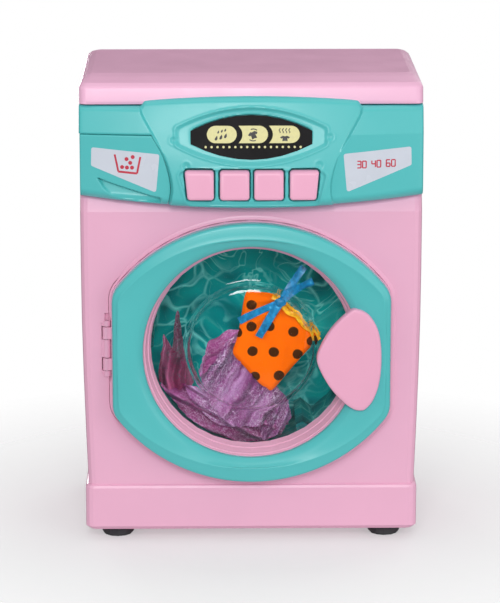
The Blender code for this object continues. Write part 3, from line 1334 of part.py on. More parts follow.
def make_control_panel():
    """Teal fascia: raised centre with display recess and button holes, wings and screw posts."""
    def heights_at(x):
        return fascia_heights(fascia_low_z(x), fascia_top_z(x))

    grid = []
    for level in range(len(heights_at(0.0))):
        row = [settled(x, lambda z, spot=spot: fascia_columns(z)[spot], heights_at, level)
               for spot, x in enumerate(fascia_columns(CREASE_Z))]
        grid.append(row)
    panel = shell_from_grid("control_panel", grid, teal_plastic())

    lip = box("cut_lip", (-HALF_WIDTH - CUT_OVERRUN, LIP_Y - FIT_GAP, LIP_LOW_Z - FIT_GAP),
              (HALF_WIDTH + CUT_OVERRUN, UPPER_FACE_Y + CUT_OVERRUN, TOTAL_HEIGHT), None)
    edge = drawer_edge(0.0)
    opening = edge + [(-HALF_WIDTH - CUT_OVERRUN, edge[-1][1]), (-HALF_WIDTH - CUT_OVERRUN, edge[0][1])]
    drawer_hole = prism("cut_drawer", opening, -FRONT_REACH - CUT_OVERRUN, UPPER_FACE_Y + CUT_OVERRUN,
                        None)
    cut(panel, lip, drawer_hole)

    for place, (x, z) in enumerate(standoff_places()):
        join(panel, rod(f"join_standoff_{place}", STANDOFF_RADIUS, fascia_inner_y(0.0, z) - WALL / 2,
                        BOARD_FRONT_Y - FIT_GAP, None, SCREW_STEPS, (x, z)))
        cut(panel, rod(f"cut_standoff_{place}", SCREW_RADIUS + FIT_GAP, BOARD_FRONT_Y - BOARD_HOLE_DEPTH,
                       BOARD_FRONT_Y + CUT_OVERRUN, None, SCREW_STEPS, (x, z)))
    for place, (x, z) in enumerate(panel_screw_places()):
        join(panel, rod(f"join_panel_post_{place}", PANEL_POST_RADIUS, fascia_y(x, z) + WING_THICK / 2,
                        UPPER_FACE_Y - FIT_GAP, None, SCREW_STEPS, (x, z)))
        cut(panel, rod(f"cut_panel_post_{place}", SCREW_RADIUS + FIT_GAP, fascia_y(x, z) + WING_THICK,
                       UPPER_FACE_Y + CUT_OVERRUN, None, SCREW_STEPS, (x, z)))

    pivot = display_pivot()
    ahead = pivot[0] - 2 * CUT_OVERRUN
    bezel = prism("cut_bezel", lens(BEZEL_HALF_WIDTH, BEZEL_HALF_HEIGHT, DISPLAY_Z), ahead,
                  pivot[0] + BEZEL_DEPTH, None)
    pocket = prism("cut_display", lens(DISPLAY_HALF_WIDTH + FIT_GAP, DISPLAY_HALF_HEIGHT + FIT_GAP,
                                       DISPLAY_Z),
                   ahead, pivot[0] + BEZEL_DEPTH + DISPLAY_THICK + FIT_GAP, None)
    cut(panel, tilted(bezel, DISPLAY_TILT, pivot), tilted(pocket, DISPLAY_TILT, pivot))
    pivot = button_pivot()
    for number in range(len(BUTTON_XS)):
        hole = prism(f"cut_button_{number}", button_outline(number, BUTTON_CLEARANCE),
                     pivot[0] - 2 * CUT_OVERRUN, pivot[0] + CENTRE_THICK + CUT_OVERRUN, None)
        cut(panel, tilted(hole, BUTTON_TILT, pivot))

    window = prism("display_window", lens(DISPLAY_HALF_WIDTH, DISPLAY_HALF_HEIGHT, DISPLAY_Z),
                   display_pivot()[0] + BEZEL_DEPTH, display_pivot()[0] + BEZEL_DEPTH + DISPLAY_THICK,
                   black_display())
    tilted(window, DISPLAY_TILT, display_pivot())


def display_pivot():
    return (fascia_y(0.0, DISPLAY_Z), DISPLAY_Z)


def button_pivot():
    return (fascia_y(0.0, BUTTON_Z), BUTTON_Z)


def button_outline(number, margin=0.0):
    """A button's outline. The outer two have a slanted outer side."""
    x = BUTTON_XS[number]
    half_width = BUTTON_HALF_WIDTH + margin
    half_height = BUTTON_HALF_HEIGHT + margin
    left_slant = BUTTON_SLANT if number == 0 else 0.0
    right_slant = BUTTON_SLANT if number == len(BUTTON_XS) - 1 else 0.0
    corners = [(x + half_width - right_slant, BUTTON_Z - half_height),
               (x + half_width, BUTTON_Z + half_height),
               (x - half_width, BUTTON_Z + half_height),
               (x - half_width + left_slant, BUTTON_Z - half_height)]
    return rounded_corners(corners, BUTTON_CORNER + margin)


def standoff_places():
    return [(side * STANDOFF_X, z) for side in (-1, 1) for z in (STANDOFF_LOW_Z, STANDOFF_TOP_Z)]


def make_buttons():
    """Four pink push buttons, each with a retaining flange and a stem."""
    pivot = button_pivot()
    switch_front = BOARD_FRONT_Y - SWITCH_THICK
    for number, x in enumerate(BUTTON_XS):
        front = fascia_y(x, BUTTON_Z) + BUTTON_SUNK
        outline = button_outline(number)
        seat = pivot[0] + CENTRE_THICK + BUTTON_SEAT_GAP
        flange = button_outline(number, BUTTON_FLANGE)
        loops = [facing(flange, seat + BUTTON_FLANGE_THICK), facing(flange, seat), facing(outline, seat),
                 facing(outline, front + BUTTON_BEVEL / 2), facing(scaled(outline, BUTTON_BEVEL), front)]
        cap = loft(f"button_{number + 1}", loops, pink_plastic())
        stem = rod(f"join_stem_{number}", BUTTON_STEM_RADIUS, seat + BUTTON_FLANGE_THICK / 2,
                   switch_front - BUTTON_TRAVEL - FIT_GAP, None, SCREW_STEPS, (x, BUTTON_Z))
        tilted(cap, BUTTON_TILT, pivot)
        tilted(stem, BUTTON_TILT, pivot)
        join(cap, stem)


def make_control_board():
    """Circuit board with its four soldered switches, and three lamps behind the display."""
    front = BOARD_FRONT_Y
    board = box("control_board", (-BOARD_HALF_WIDTH, front, BOARD_LOW_Z),
                (BOARD_HALF_WIDTH, front + BOARD_THICK, BOARD_TOP_Z), board_green())
    for place, spot in enumerate(standoff_places()):
        cut(board, rod(f"cut_board_{place}", SCREW_RADIUS + FIT_GAP, front - CUT_OVERRUN,
                       front + BOARD_THICK + CUT_OVERRUN, None, SCREW_STEPS, spot))
    for place, x in enumerate(BUTTON_XS):
        join(board, box(f"join_switch_{place}", (x - SWITCH_HALF, front - SWITCH_THICK,
                                                 BUTTON_Z - SWITCH_HALF),
                        (x + SWITCH_HALF, front + BOARD_THICK / 2, BUTTON_Z + SWITCH_HALF), None))
    for place in range(LED_COUNT):
        spot = ((place - (LED_COUNT - 1) / 2) * LED_PITCH, DISPLAY_Z)
        join(board, rod(f"join_lamp_{place}", LED_RADIUS, front - LED_LENGTH, front + BOARD_THICK / 2,
                        None, LED_STEPS, spot))


def drawer_edge(gap):
    """The drawer's right edge along the seam, from below the fascia up to the crease."""
    low = FASCIA_LOW_Z - CUT_OVERRUN
    high = CREASE_Z - gap
    edge = []
    for step in range(LOWER_ROWS * 2 + 1):
        z = low + (high - low) * step / (LOWER_ROWS * 2)
        edge.append((-seam_x(z) - SEAM_SOFTNESS - gap, z))
    return edge


def make_drawer():
    """Detergent drawer: teal front with a finger grip, a two-part tray and its guide."""
    left = -HALF_WIDTH + DRAWER_GAP

    def heights_at(x):
        return fascia_heights(fascia_low_z(x), CREASE_Z - DRAWER_GAP)

    def place_at(z, share):
        right = -seam_x(z) - SEAM_SOFTNESS - DRAWER_GAP
        return left + (right - left) * share

    grid = []
    for level in range(len(heights_at(left))):
        row = [settled(left, lambda z, spot=spot: place_at(z, spot / WING_COLUMNS), heights_at, level)
               for spot in range(WING_COLUMNS + 1)]
        grid.append(row)
    front = shell_from_grid("drawer_front", grid, teal_plastic())
    grip = outline_from_shares(GRIP_OUTLINE_SHARES, (GRIP_CENTRE_X, GRIP_CENTRE_Z), GRIP_HALF_WIDTH,
                               GRIP_HALF_HEIGHT)
    surface = fascia_y(GRIP_CENTRE_X, GRIP_CENTRE_Z)
    join(front, prism("join_grip", scaled(grip, -GRIP_WALL), surface + WING_THICK / 2,
                      surface + GRIP_DEPTH + GRIP_WALL, None, smooth=0.0))
    cut(front, prism("cut_grip", grip, surface - CUT_OVERRUN, surface + GRIP_DEPTH, None, smooth=0.0))

    start = UPPER_FACE_Y - FIT_GAP
    low = (TRAY_LEFT_X, start + FIT_GAP, TRAY_LOW_Z)
    high = (TRAY_RIGHT_X, start + TRAY_LENGTH, TRAY_TOP_Z)
    tray = box("drawer_tray", low, high, teal_plastic())
    divide = low[1] + TRAY_LENGTH * TRAY_DIVIDER_SHARE
    rooms = ((low[1] + TRAY_WALL, divide), (divide + TRAY_WALL, high[1] - TRAY_WALL))
    for place, (near, far) in enumerate(rooms):
        cut(tray, box(f"cut_tray_{place}", (low[0] + TRAY_WALL, near, low[2] + TRAY_WALL),
                      (high[0] - TRAY_WALL, far, high[2] + CUT_OVERRUN), None))

    clear = GUIDE_CLEARANCE
    wall_back = UPPER_FACE_Y + WALL + FIT_GAP
    inner_low = (low[0] - clear, wall_back, low[2] - clear)
    inner_high = (high[0] + clear, start + GUIDE_LENGTH, high[2] + clear)
    guide = box("drawer_guide", (inner_low[0] - GUIDE_WALL, wall_back, inner_low[2] - GUIDE_WALL),
                (inner_high[0] + GUIDE_WALL, inner_high[1], inner_high[2] + GUIDE_WALL), white_plastic())
    edge = GUIDE_WALL + GUIDE_FLANGE
    join(guide, box("join_guide_flange", (inner_low[0] - edge, wall_back, inner_low[2] - edge),
                    (inner_high[0] + edge, wall_back + GUIDE_WALL, inner_high[2] + edge), None))
    cut(guide, box("cut_guide", (inner_low[0], wall_back - CUT_OVERRUN, inner_low[2]),
                   (inner_high[0], inner_high[1] - GUIDE_WALL, inner_high[2]), None))


def make_door():
    """Door: teal front ring, pink back ring with funnel and knuckles, window, handle and pin."""
    outline = door_outline()
    opening = matching_circle(outline, OPENING_RADIUS)
    slope = matching_circle(outline, SLOPE_RADIUS)
    crest = blended(outline, opening, crest_inset)
    loops = [facing(outline, RING_BACK_Y), facing(outline, RING_FRONT_Y + RING_SHOULDER),
             facing(blended(outline, opening, lambda point: RING_EDGE_ROUND),
                    RING_FRONT_Y + RING_EDGE_ROUND),
             facing(crest, RING_FRONT_Y), facing(slope, RING_FRONT_Y + RING_SLOPE_DEPTH),
             facing(opening, RING_FRONT_Y + RING_LIP_DEPTH), facing(opening, RING_BACK_Y)]
    front = loft("door_front_ring", loops, teal_plastic(), ring=True)
    grip = handle_outline()
    cut(front, prism("cut_handle_seat", scaled(grip, -FIT_GAP), RING_FRONT_Y - CUT_OVERRUN, HANDLE_SEAT_Y,
                     None))
    for place, spot in enumerate(door_screw_places()):
        cut(front, rod(f"cut_ring_screw_{place}", SCREW_RADIUS + FIT_GAP, RING_BACK_Y - SCREW_LENGTH / 2,
                       RING_BACK_Y + CUT_OVERRUN, None, SCREW_STEPS, spot))

    border = door_outline(BACK_RING_MARGIN)
    front_y = RING_BACK_Y + FIT_GAP
    back_y = front_y + BACK_RING_THICK
    circles = [matching_circle(border, radius) for radius in
               (OPENING_RADIUS, FUNNEL_STEP_RADIUS, FUNNEL_INNER_RADIUS,
                FUNNEL_INNER_RADIUS + FUNNEL_WALL,
                FUNNEL_STEP_RADIUS + FUNNEL_WALL)]
    mouth, step, inner, tip, root = circles
    loops = [facing(border, back_y), facing(border, front_y), facing(mouth, front_y),
             facing(step, FUNNEL_STEP_Y), facing(inner, FUNNEL_END_Y), facing(tip, FUNNEL_END_Y),
             facing(root, back_y)]
    back = loft("door_back_ring", loops, pink_plastic(), ring=True)
    for side in (-1, 1):
        middle = HINGE_MID_Z + side * KNUCKLE_OFFSET
        low = middle - KNUCKLE_LENGTH / 2
        high = middle + KNUCKLE_LENGTH / 2
        join(back, post(f"join_knuckle_{side}", KNUCKLE_RADIUS, low, high, None, HINGE_STEPS,
                        (HINGE_X, HINGE_Y)))
        join(back, box(f"join_knuckle_arm_{side}", (HINGE_X, HINGE_Y - KNUCKLE_RADIUS * KNUCKLE_ARM_SHARE,
                                                    low + FIT_GAP / 3),
                       (-RING_HALF_WIDTH - BACK_RING_MARGIN + KNUCKLE_ROOT, HINGE_Y + FIT_GAP,
                        high - FIT_GAP / 3), None))
        tongue = RING_Z + side * LATCH_OFFSET_Z
        join(back, box(f"join_tongue_{side}", (LATCH_X - LATCH_THICK / 2, back_y - KNUCKLE_ROOT,
                                               tongue - LATCH_HEIGHT / 2),
                       (LATCH_X + LATCH_THICK / 2, back_y + LATCH_LENGTH, tongue + LATCH_HEIGHT / 2),
                       None))
    reach = KNUCKLE_OFFSET + KNUCKLE_LENGTH
    cut(back, post("cut_knuckle_bore", HINGE_PIN_RADIUS + FIT_GAP, HINGE_MID_Z - reach,
                   HINGE_MID_Z + reach,
                   None, HINGE_STEPS, (HINGE_X, HINGE_Y)))
    seat = back_y - SCREW_HEAD_HEIGHT - FIT_GAP
    for place, spot in enumerate(door_screw_places()):
        cut(back, rod(f"cut_back_screw_{place}", SCREW_RADIUS + FIT_GAP, front_y - CUT_OVERRUN,
                      back_y + CUT_OVERRUN, None, SCREW_STEPS, spot))
        cut(back, rod(f"cut_back_head_{place}", SCREW_HEAD_RADIUS + FIT_GAP, seat, back_y + CUT_OVERRUN,
                      None, SCREW_STEPS, spot))

    rim = FUNNEL_END_Y + FIT_GAP
    step_y = rim - WINDOW_CONE_RISE
    dome_y = step_y - DOME_STEP
    outside = [(WINDOW_RADIUS, rim), (DOME_RADIUS + DOME_STEP_RUN, step_y), (DOME_RADIUS, dome_y)]
    for ring in range(1, DOME_RINGS):
        share = 1.0 - ring / DOME_RINGS
        outside.append((DOME_RADIUS * share, dome_y - DOME_RISE * (1.0 - share * share)))
    outside.append((0.0, dome_y - DOME_RISE))
    inside = [(0.0, dome_y - DOME_RISE + WINDOW_THICK)]
    for ring in range(DOME_RINGS - 1, 0, -1):
        share = 1.0 - ring / DOME_RINGS
        inside.append((DOME_RADIUS * share, dome_y - DOME_RISE * (1.0 - share * share) + WINDOW_THICK))
    inside += [(DOME_RADIUS - WINDOW_THICK, dome_y + WINDOW_THICK),
               (DOME_RADIUS + DOME_STEP_RUN - WINDOW_THICK, step_y + WINDOW_THICK),
               (WINDOW_RADIUS, rim + WINDOW_THICK)]
    turned("door_window", inside + outside, clear_plastic(), DRUM_STEPS, (0.0, RING_Z))

    loops = [facing(grip, HANDLE_SEAT_Y - FIT_GAP), facing(grip, HANDLE_FRONT_Y + HANDLE_EDGE),
             facing(scaled(grip, HANDLE_EDGE / 3), HANDLE_FRONT_Y + HANDLE_EDGE / 3),
             facing(scaled(grip, HANDLE_EDGE), HANDLE_FRONT_Y)]
    loft("door_handle", loops, pink_plastic())
    lug_half = KNUCKLE_OFFSET + KNUCKLE_LENGTH / 2 + KNUCKLE_CLEARANCE + END_LUG_LENGTH
    post("hinge_pin", HINGE_PIN_RADIUS, HINGE_MID_Z - lug_half + KNUCKLE_CLEARANCE + FIT_GAP,
         HINGE_MID_Z + lug_half, steel(), HINGE_STEPS, (HINGE_X, HINGE_Y))


def handle_outline():
    return outline_from_shares(HANDLE_OUTLINE_SHARES, (HANDLE_CENTRE_X, HANDLE_CENTRE_Z),
                               HANDLE_HALF_WIDTH, HANDLE_HALF_HEIGHT)


def door_screw_places():
    """Four places in the wide corners of the door ring."""
    across = RING_HALF_WIDTH - RING_CORNER
    up = corner_lift() + DOOR_SCREW_RAISE
    return [(side * across, RING_Z + end * up) for side in (-1, 1) for end in (-1, 1)]


def make_drum():
    """Teal drum with three lifters, a printed disc on its floor, its shaft and gear."""
    inner = DRUM_RADIUS - DRUM_WALL
    floor = DRUM_BACK_Y - DRUM_WALL
    profile = [(0.0, DRUM_BACK_Y + HUB_LENGTH), (HUB_RADIUS, DRUM_BACK_Y + HUB_LENGTH),
               (HUB_RADIUS, DRUM_BACK_Y), (DRUM_RADIUS - DRUM_LIP, DRUM_BACK_Y),
               (DRUM_RADIUS, DRUM_BACK_Y - DRUM_LIP), (DRUM_RADIUS, DRUM_FRONT_Y + DRUM_LIP / 2),
               (DRUM_RADIUS - DRUM_WALL / 2, DRUM_FRONT_Y), (inner, DRUM_FRONT_Y + DRUM_LIP / 2),
               (inner, floor), (0.0, floor)]
    drum = turned("drum", profile, teal_plastic(), DRUM_STEPS, (0.0, RING_Z))
    for number in range(LIFTER_COUNT):
        turn = LIFTER_START + 2 * math.pi * number / LIFTER_COUNT
        out = Vector((math.cos(turn), math.sin(turn)))
        side = Vector((-out.y, out.x))
        base = inner + DRUM_WALL / 3
        top = inner - LIFTER_HEIGHT
        root = math.sqrt(base * base - LIFTER_HALF_WIDTH * LIFTER_HALF_WIDTH)
        crown = LIFTER_HALF_WIDTH * LIFTER_TOP_SHARE
        corners = [out * root - side * LIFTER_HALF_WIDTH, out * root + side * LIFTER_HALF_WIDTH,
                   out * top + side * crown, out * top - side * crown]
        outline = [(corner.x, corner.y + RING_Z) for corner in corners]
        join(drum, prism(f"join_lifter_{number}", outline, DRUM_FRONT_Y + 2 * DRUM_LIP,
                         floor + DRUM_WALL / 2,
                         None, smooth=0.0))
    cut(drum, rod("cut_hub", SHAFT_RADIUS + FIT_GAP, DRUM_BACK_Y + HUB_FLOOR,
                  DRUM_BACK_Y + HUB_LENGTH + CUT_OVERRUN,
                  None, HINGE_STEPS, (0.0, RING_Z)))
    disc = inner - LIFTER_HEIGHT - BACKING_MARGIN
    rod("drum_backing", disc, floor - FIT_GAP - BACKING_THICK, floor - FIT_GAP, water_print(), DRUM_STEPS,
        (0.0, RING_Z))


def gear_front_y():
    return DRUM_BACK_Y + HUB_LENGTH + FIT_GAP


def drive_places():
    """Centres (x, z) of the compound gear and of the motor."""
    first = GEAR_MODULE * (DRUM_TEETH + SMALL_TEETH) / 2 + GEAR_SPREAD
    second = first + GEAR_MODULE * (LARGE_TEETH + PINION_TEETH) / 2 + GEAR_SPREAD
    return [(reach * math.cos(DRIVE_ANGLE), RING_Z + reach * math.sin(DRIVE_ANGLE))
            for reach in (first, second)]


def motor_can(centre, margin=0.0):
    """Outline of the motor: round, with two flat sides."""
    flat = MOTOR_FLAT + margin
    return [(centre[0] + min(flat, max(-flat, x)), centre[1] + z)
            for x, z in circle(MOTOR_RADIUS + margin, MOTOR_STEPS)]


def involute(angle):
    return math.tan(angle) - angle


def gear_outline(teeth, centre, turn):
    """Involute teeth with short tips, so that the small pinion clears its mate."""
    pitch = GEAR_MODULE * teeth / 2
    base = pitch * math.cos(PRESSURE_ANGLE)
    half = math.pi / (2 * teeth) * TOOTH_SHARE + involute(PRESSURE_ANGLE)
    flank = []
    for radius in (pitch - DEDENDUM, pitch + ADDENDUM):
        lean = involute(math.acos(min(1.0, base / radius)))
        flank.append((radius, half - lean))
    outline = []
    for tooth in range(teeth):
        middle = turn + 2 * math.pi * tooth / teeth
        for radius, spread in flank:
            outline.append((radius, middle - spread))
        for radius, spread in reversed(flank):
            outline.append((radius, middle + spread))
    return [(centre[0] + radius * math.cos(angle), centre[1] + radius * math.sin(angle))
            for radius, angle in outline]


def make_drive():
    """Drive: plate, bearing, shaft, gears, axle and motor."""
    middle = (0.0, RING_Z)
    compound, motor = drive_places()
    start = gear_front_y()
    gear = prism("drum_gear", gear_outline(DRUM_TEETH, middle, DRIVE_ANGLE), start, start + GEAR_FACE,
                 white_plastic())
    cut(gear, rod("cut_drum_gear", SHAFT_RADIUS + FIT_GAP, start - CUT_OVERRUN,
                  start + GEAR_FACE + CUT_OVERRUN,
                  None, HINGE_STEPS, middle))
    large = start + GEAR_FACE + GEAR_STACK_GAP
    small_turn = DRIVE_ANGLE + math.pi - math.pi / SMALL_TEETH
    stack = prism("compound_gear", gear_outline(LARGE_TEETH, compound, DRIVE_ANGLE), large,
                  large + LARGE_FACE,
                  white_plastic())
    join(stack, prism("join_small_gear", gear_outline(SMALL_TEETH, compound, small_turn), start,
                      large + LARGE_FACE / 2, None))
    cut(stack, rod("cut_compound", AXLE_RADIUS + FIT_GAP, start - CUT_OVERRUN,
                   large + LARGE_FACE + CUT_OVERRUN, None, HINGE_STEPS, compound))
    pinion_turn = DRIVE_ANGLE + math.pi - math.pi / PINION_TEETH
    pinion_y = large + (LARGE_FACE - PINION_FACE) / 2
    pinion = prism("motor_pinion", gear_outline(PINION_TEETH, motor, pinion_turn), pinion_y,
                   pinion_y + PINION_FACE, brass())
    behind = PLATE_Y + PLATE_THICK
    front = behind + FIT_GAP
    depth = front + MOTOR_LENGTH / 4
    join(pinion, rod("join_motor_shaft", MOTOR_SHAFT_RADIUS, pinion_y + PINION_FACE / 2, depth - FIT_GAP,
                     None,
                     HINGE_STEPS, motor))
    plate = prism("drive_plate", rounded_rectangle(PLATE_HALF_WIDTH, PLATE_HALF_HEIGHT, PLATE_CORNER,
                                                   middle),
                  PLATE_Y, behind, grey_plastic())
    holes = [(BEARING_RADIUS + FIT_GAP, middle), (MOTOR_NOSE_RADIUS + FIT_GAP, motor),
             (AXLE_RADIUS + FIT_GAP, compound)]
    holes += [(SCREW_RADIUS + FIT_GAP, place) for place in plate_corners()]
    holes += [(PLATE_WINDOW_RADIUS, (side * PLATE_WINDOW_X, RING_Z + end * PLATE_WINDOW_OFFSET_Z))
              for side, end in ((-1, -1), (-1, 1), (1, -1))]
    join(plate, prism("join_cradle", motor_can(motor, FIT_GAP + CRADLE_WALL), behind - PLATE_THICK / 2,
                      behind + CRADLE_LENGTH, None))
    cut(plate, prism("cut_cradle", motor_can(motor, FIT_GAP), behind,
                     behind + CRADLE_LENGTH + CUT_OVERRUN, None))
    for place, (radius, spot) in enumerate(holes):
        cut(plate, rod(f"cut_plate_{place}", radius, PLATE_Y - CUT_OVERRUN, behind + CUT_OVERRUN, None,
                       HINGE_STEPS, spot))

    bore = SHAFT_RADIUS + FIT_GAP
    flange_back = behind + FIT_GAP + BEARING_FLANGE_THICK
    turned("shaft_bearing", [(BEARING_FLANGE_RADIUS, flange_back),
                             (BEARING_FLANGE_RADIUS, behind + FIT_GAP),
                             (BEARING_RADIUS, behind + FIT_GAP), (BEARING_RADIUS, PLATE_Y),
                             (bore, PLATE_Y), (bore, flange_back)], white_plastic(), ROUND_STEPS, middle)
    clip = flange_back + FIT_GAP
    turned("shaft_clip", [(CLIP_RADIUS, clip + CLIP_THICK), (CLIP_RADIUS, clip), (bore, clip),
                          (bore, clip + CLIP_THICK)], steel(), ROUND_STEPS, middle)
    rod("drum_shaft", SHAFT_RADIUS, DRUM_BACK_Y + HUB_FLOOR + FIT_GAP, clip + CLIP_THICK + SHAFT_TAIL,
        steel(),
        ROUND_STEPS, middle)
    rod("gear_axle", AXLE_RADIUS, start, behind, steel(), HINGE_STEPS, compound)

    body = prism("motor", motor_can(motor), front, front + MOTOR_LENGTH, steel())
    join(body, rod("join_nose", MOTOR_NOSE_RADIUS, front - MOTOR_NOSE_LENGTH, front + MOTOR_NOSE_LENGTH,
                   None,
                   HINGE_STEPS, motor))
    cut(body, rod("cut_motor", MOTOR_SHAFT_RADIUS + FIT_GAP, front - MOTOR_NOSE_LENGTH - CUT_OVERRUN,
                  depth, None,
                  HINGE_STEPS, motor))


def make_speaker():
    """Speaker behind its grille, and the power switch with its sliding knob."""
    back = BACK_Y
    rim = back - SPEAKER_RIM_THICK
    profile = [(0.0, back - SPEAKER_RIM_THICK), (SPEAKER_RADIUS - 2 * SPEAKER_RIM_THICK, back),
               (SPEAKER_RADIUS, back), (SPEAKER_RADIUS, rim),
               (MAGNET_RADIUS, back - SPEAKER_DEPTH + MAGNET_DEPTH),
               (MAGNET_RADIUS, back - SPEAKER_DEPTH),
               (0.0, back - SPEAKER_DEPTH)]
    turned("speaker", profile, dark_plastic(), ROUND_STEPS, (SPEAKER_X, SPEAKER_Z))
    middle = KNOB_X + KNOB_TRAVEL / 2
    face = back - KNOB_INSIDE
    box("power_switch", (middle - POWER_HALF_WIDTH, face - POWER_DEPTH, KNOB_Z - POWER_HALF_HEIGHT),
        (middle + POWER_HALF_WIDTH, face, KNOB_Z + POWER_HALF_HEIGHT), dark_plastic())
    box("power_switch_knob", (KNOB_X - KNOB_HALF_WIDTH, face + FIT_GAP, KNOB_Z - KNOB_HALF_HEIGHT),
        (KNOB_X + KNOB_HALF_WIDTH, FRONT_REACH - KNOB_RECESS, KNOB_Z + KNOB_HALF_HEIGHT), dark_plastic())


def make_laundry():
    """Play dress with its ribbon, and a crumpled tulle skirt, as plain soft solids."""
    outline = outline_from_shares(DRESS_OUTLINE_SHARES, (DRESS_X, DRESS_Z), DRESS_HALF_WIDTH,
                                  DRESS_HALF_HEIGHT)
    loops = []
    for side in (1, -1):
        for share, thick in DRESS_LAYER_SHARES[::side]:
            shrunk = [(DRESS_X + (x - DRESS_X) * share, DRESS_Z + (z - DRESS_Z) * share)
                      for x, z in outline]
            loops.append(facing(shrunk, DRESS_Y + side * DRESS_HALF_THICK * thick))
    loft("play_dress", loops, orange_cloth())

    front = DRESS_Y - DRESS_HALF_THICK - FIT_GAP
    across, up = RIBBON_KNOT_PLACE_SHARES
    knot = (DRESS_X + DRESS_HALF_WIDTH * across, DRESS_Z + DRESS_HALF_HEIGHT * up)
    ribbon = rod("dress_ribbon", RIBBON_HALF_WIDTH * RIBBON_KNOT_SHARE, front - RIBBON_THICK, front,
                 blue_satin(), RIBBON_STEPS, knot)
    for place, (turn, reach) in enumerate(RIBBON_TAIL_SHARES):
        length = DRESS_HALF_WIDTH * reach
        out = Vector((math.cos(turn), math.sin(turn)))
        side = Vector((-out.y, out.x)) * RIBBON_HALF_WIDTH
        start = Vector(knot)
        corners = [start - side, start + out * length - side, start + out * length + side, start + side]
        rear = RIBBON_THICK * RIBBON_BACK_SHARE * (place + 1)
        thin = RIBBON_THICK * (1.0 - RIBBON_LAYER_SHARE * (place + 1))
        join(ribbon, prism(f"join_ribbon_{place}", [tuple(corner) for corner in corners], front - thin,
                           front - rear, None, smooth=0.0))

    outer = DRUM_RADIUS - DRUM_WALL - 2 * FIT_GAP
    inner = outer * TULLE_INNER_SHARE
    turns = [TULLE_START + (TULLE_END - TULLE_START) * step / TULLE_STEPS for step in range(TULLE_STEPS + 1)]
    sector = [(outer * math.cos(turn), RING_Z + outer * math.sin(turn)) for turn in turns]
    sector += [(inner * math.cos(turn), RING_Z + inner * math.sin(turn)) for turn in reversed(turns)]
    near = DRESS_Y + DRESS_HALF_THICK + FIT_GAP
    prism("tulle_skirt", sector, near, near + TULLE_DEPTH, lilac_tulle())


def lead_ends():
    """First and last point of each lead."""
    back = BOARD_FRONT_Y + BOARD_THICK + LEAD_BOARD_GAP
    motor_x, motor_z = drive_places()[1]
    motor_back = PLATE_Y + PLATE_THICK + FIT_GAP + MOTOR_LENGTH + LEAD_MOTOR_GAP
    box_top = cavity_heights()[1] + BATTERY_DOOR_REST + BATTERY_DOOR_EAR + BOX_WALL
    starts = {"battery_lead": (LEAD_BOX_X, BACK_Y - LEAD_BOX_INSET, box_top + LEAD_BOX_GAP),
              "motor_lead": (motor_x, motor_back, motor_z),
              "speaker_lead": (SPEAKER_X, BACK_Y - SPEAKER_DEPTH - LEAD_SPEAKER_GAP, SPEAKER_Z)}
    return {name: (start, (LEAD_END_XS[name], back, FASCIA_LOW_Z + LEAD_END_RAISES[name]))
            for name, start in starts.items()}


def lead_route(name):
    """Points of a lead, from its ends and the shares of the way between them."""
    start, end = lead_ends()[name]
    middle = [tuple(a + (b - a) * share for a, b, share in zip(start, end, shares))
              for shares in LEAD_ROUTE_SHARES[name]]
    return [start] + middle + [end]


def smooth_route(route, spacing):
    """Points at an even spacing on a smooth curve through a route's points."""
    knots = [Vector(point) for point in route]
    knots = [knots[0] * 2 - knots[1]] + knots + [knots[-1] * 2 - knots[-2]]
    points = []
    for a, b, c, d in zip(knots, knots[1:], knots[2:], knots[3:]):
        count = max(1, round((c - b).length / spacing))
        for step in range(count):
            t = step / count
            points.append(0.5 * (2 * b + (c - a) * t + (2 * a - 5 * b + 4 * c - d) * t * t
                                 + (3 * b - a - 3 * c + d) * t * t * t))
    points.append(knots[-2])
    return points


def make_leads():
    """Leads inside the cabinet, from the battery box, the motor and the speaker to the board."""
    finishes = {"battery_lead": red_wire(), "motor_lead": black_wire(), "speaker_lead": white_plastic()}
    for name in LEAD_ROUTE_SHARES:
        points = smooth_route(lead_route(name), LEAD_SPACING)
        curve = bpy.data.curves.new(name, 'CURVE')
        curve.dimensions = '3D'
        curve.bevel_depth = LEAD_RADIUS
        curve.bevel_resolution = LEAD_BEVEL_STEPS
        curve.use_fill_caps = True
        run = curve.splines.new('POLY')
        run.points.add(len(points) - 1)
        for place, point in zip(run.points, points):
            place.co = (*point, 1.0)
        curve.materials.append(finishes[name])
        lead = bpy.data.objects.new(name, curve)
        bpy.context.scene.collection.objects.link(lead)


def main():
    clear_scene()
    make_cabinet()
    make_feet()
    make_top_cover()
    make_rear_cover()
    make_control_panel()
    make_buttons()
    make_control_board()
    make_drawer()
    make_door()
    make_drum()
    make_drive()
    make_batteries()
    make_speaker()
    make_screws()
    make_laundry()
    make_leads()


main()
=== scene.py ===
import json
import math
import random

import bmesh
import bpy
from mathutils import Matrix, Vector, noise


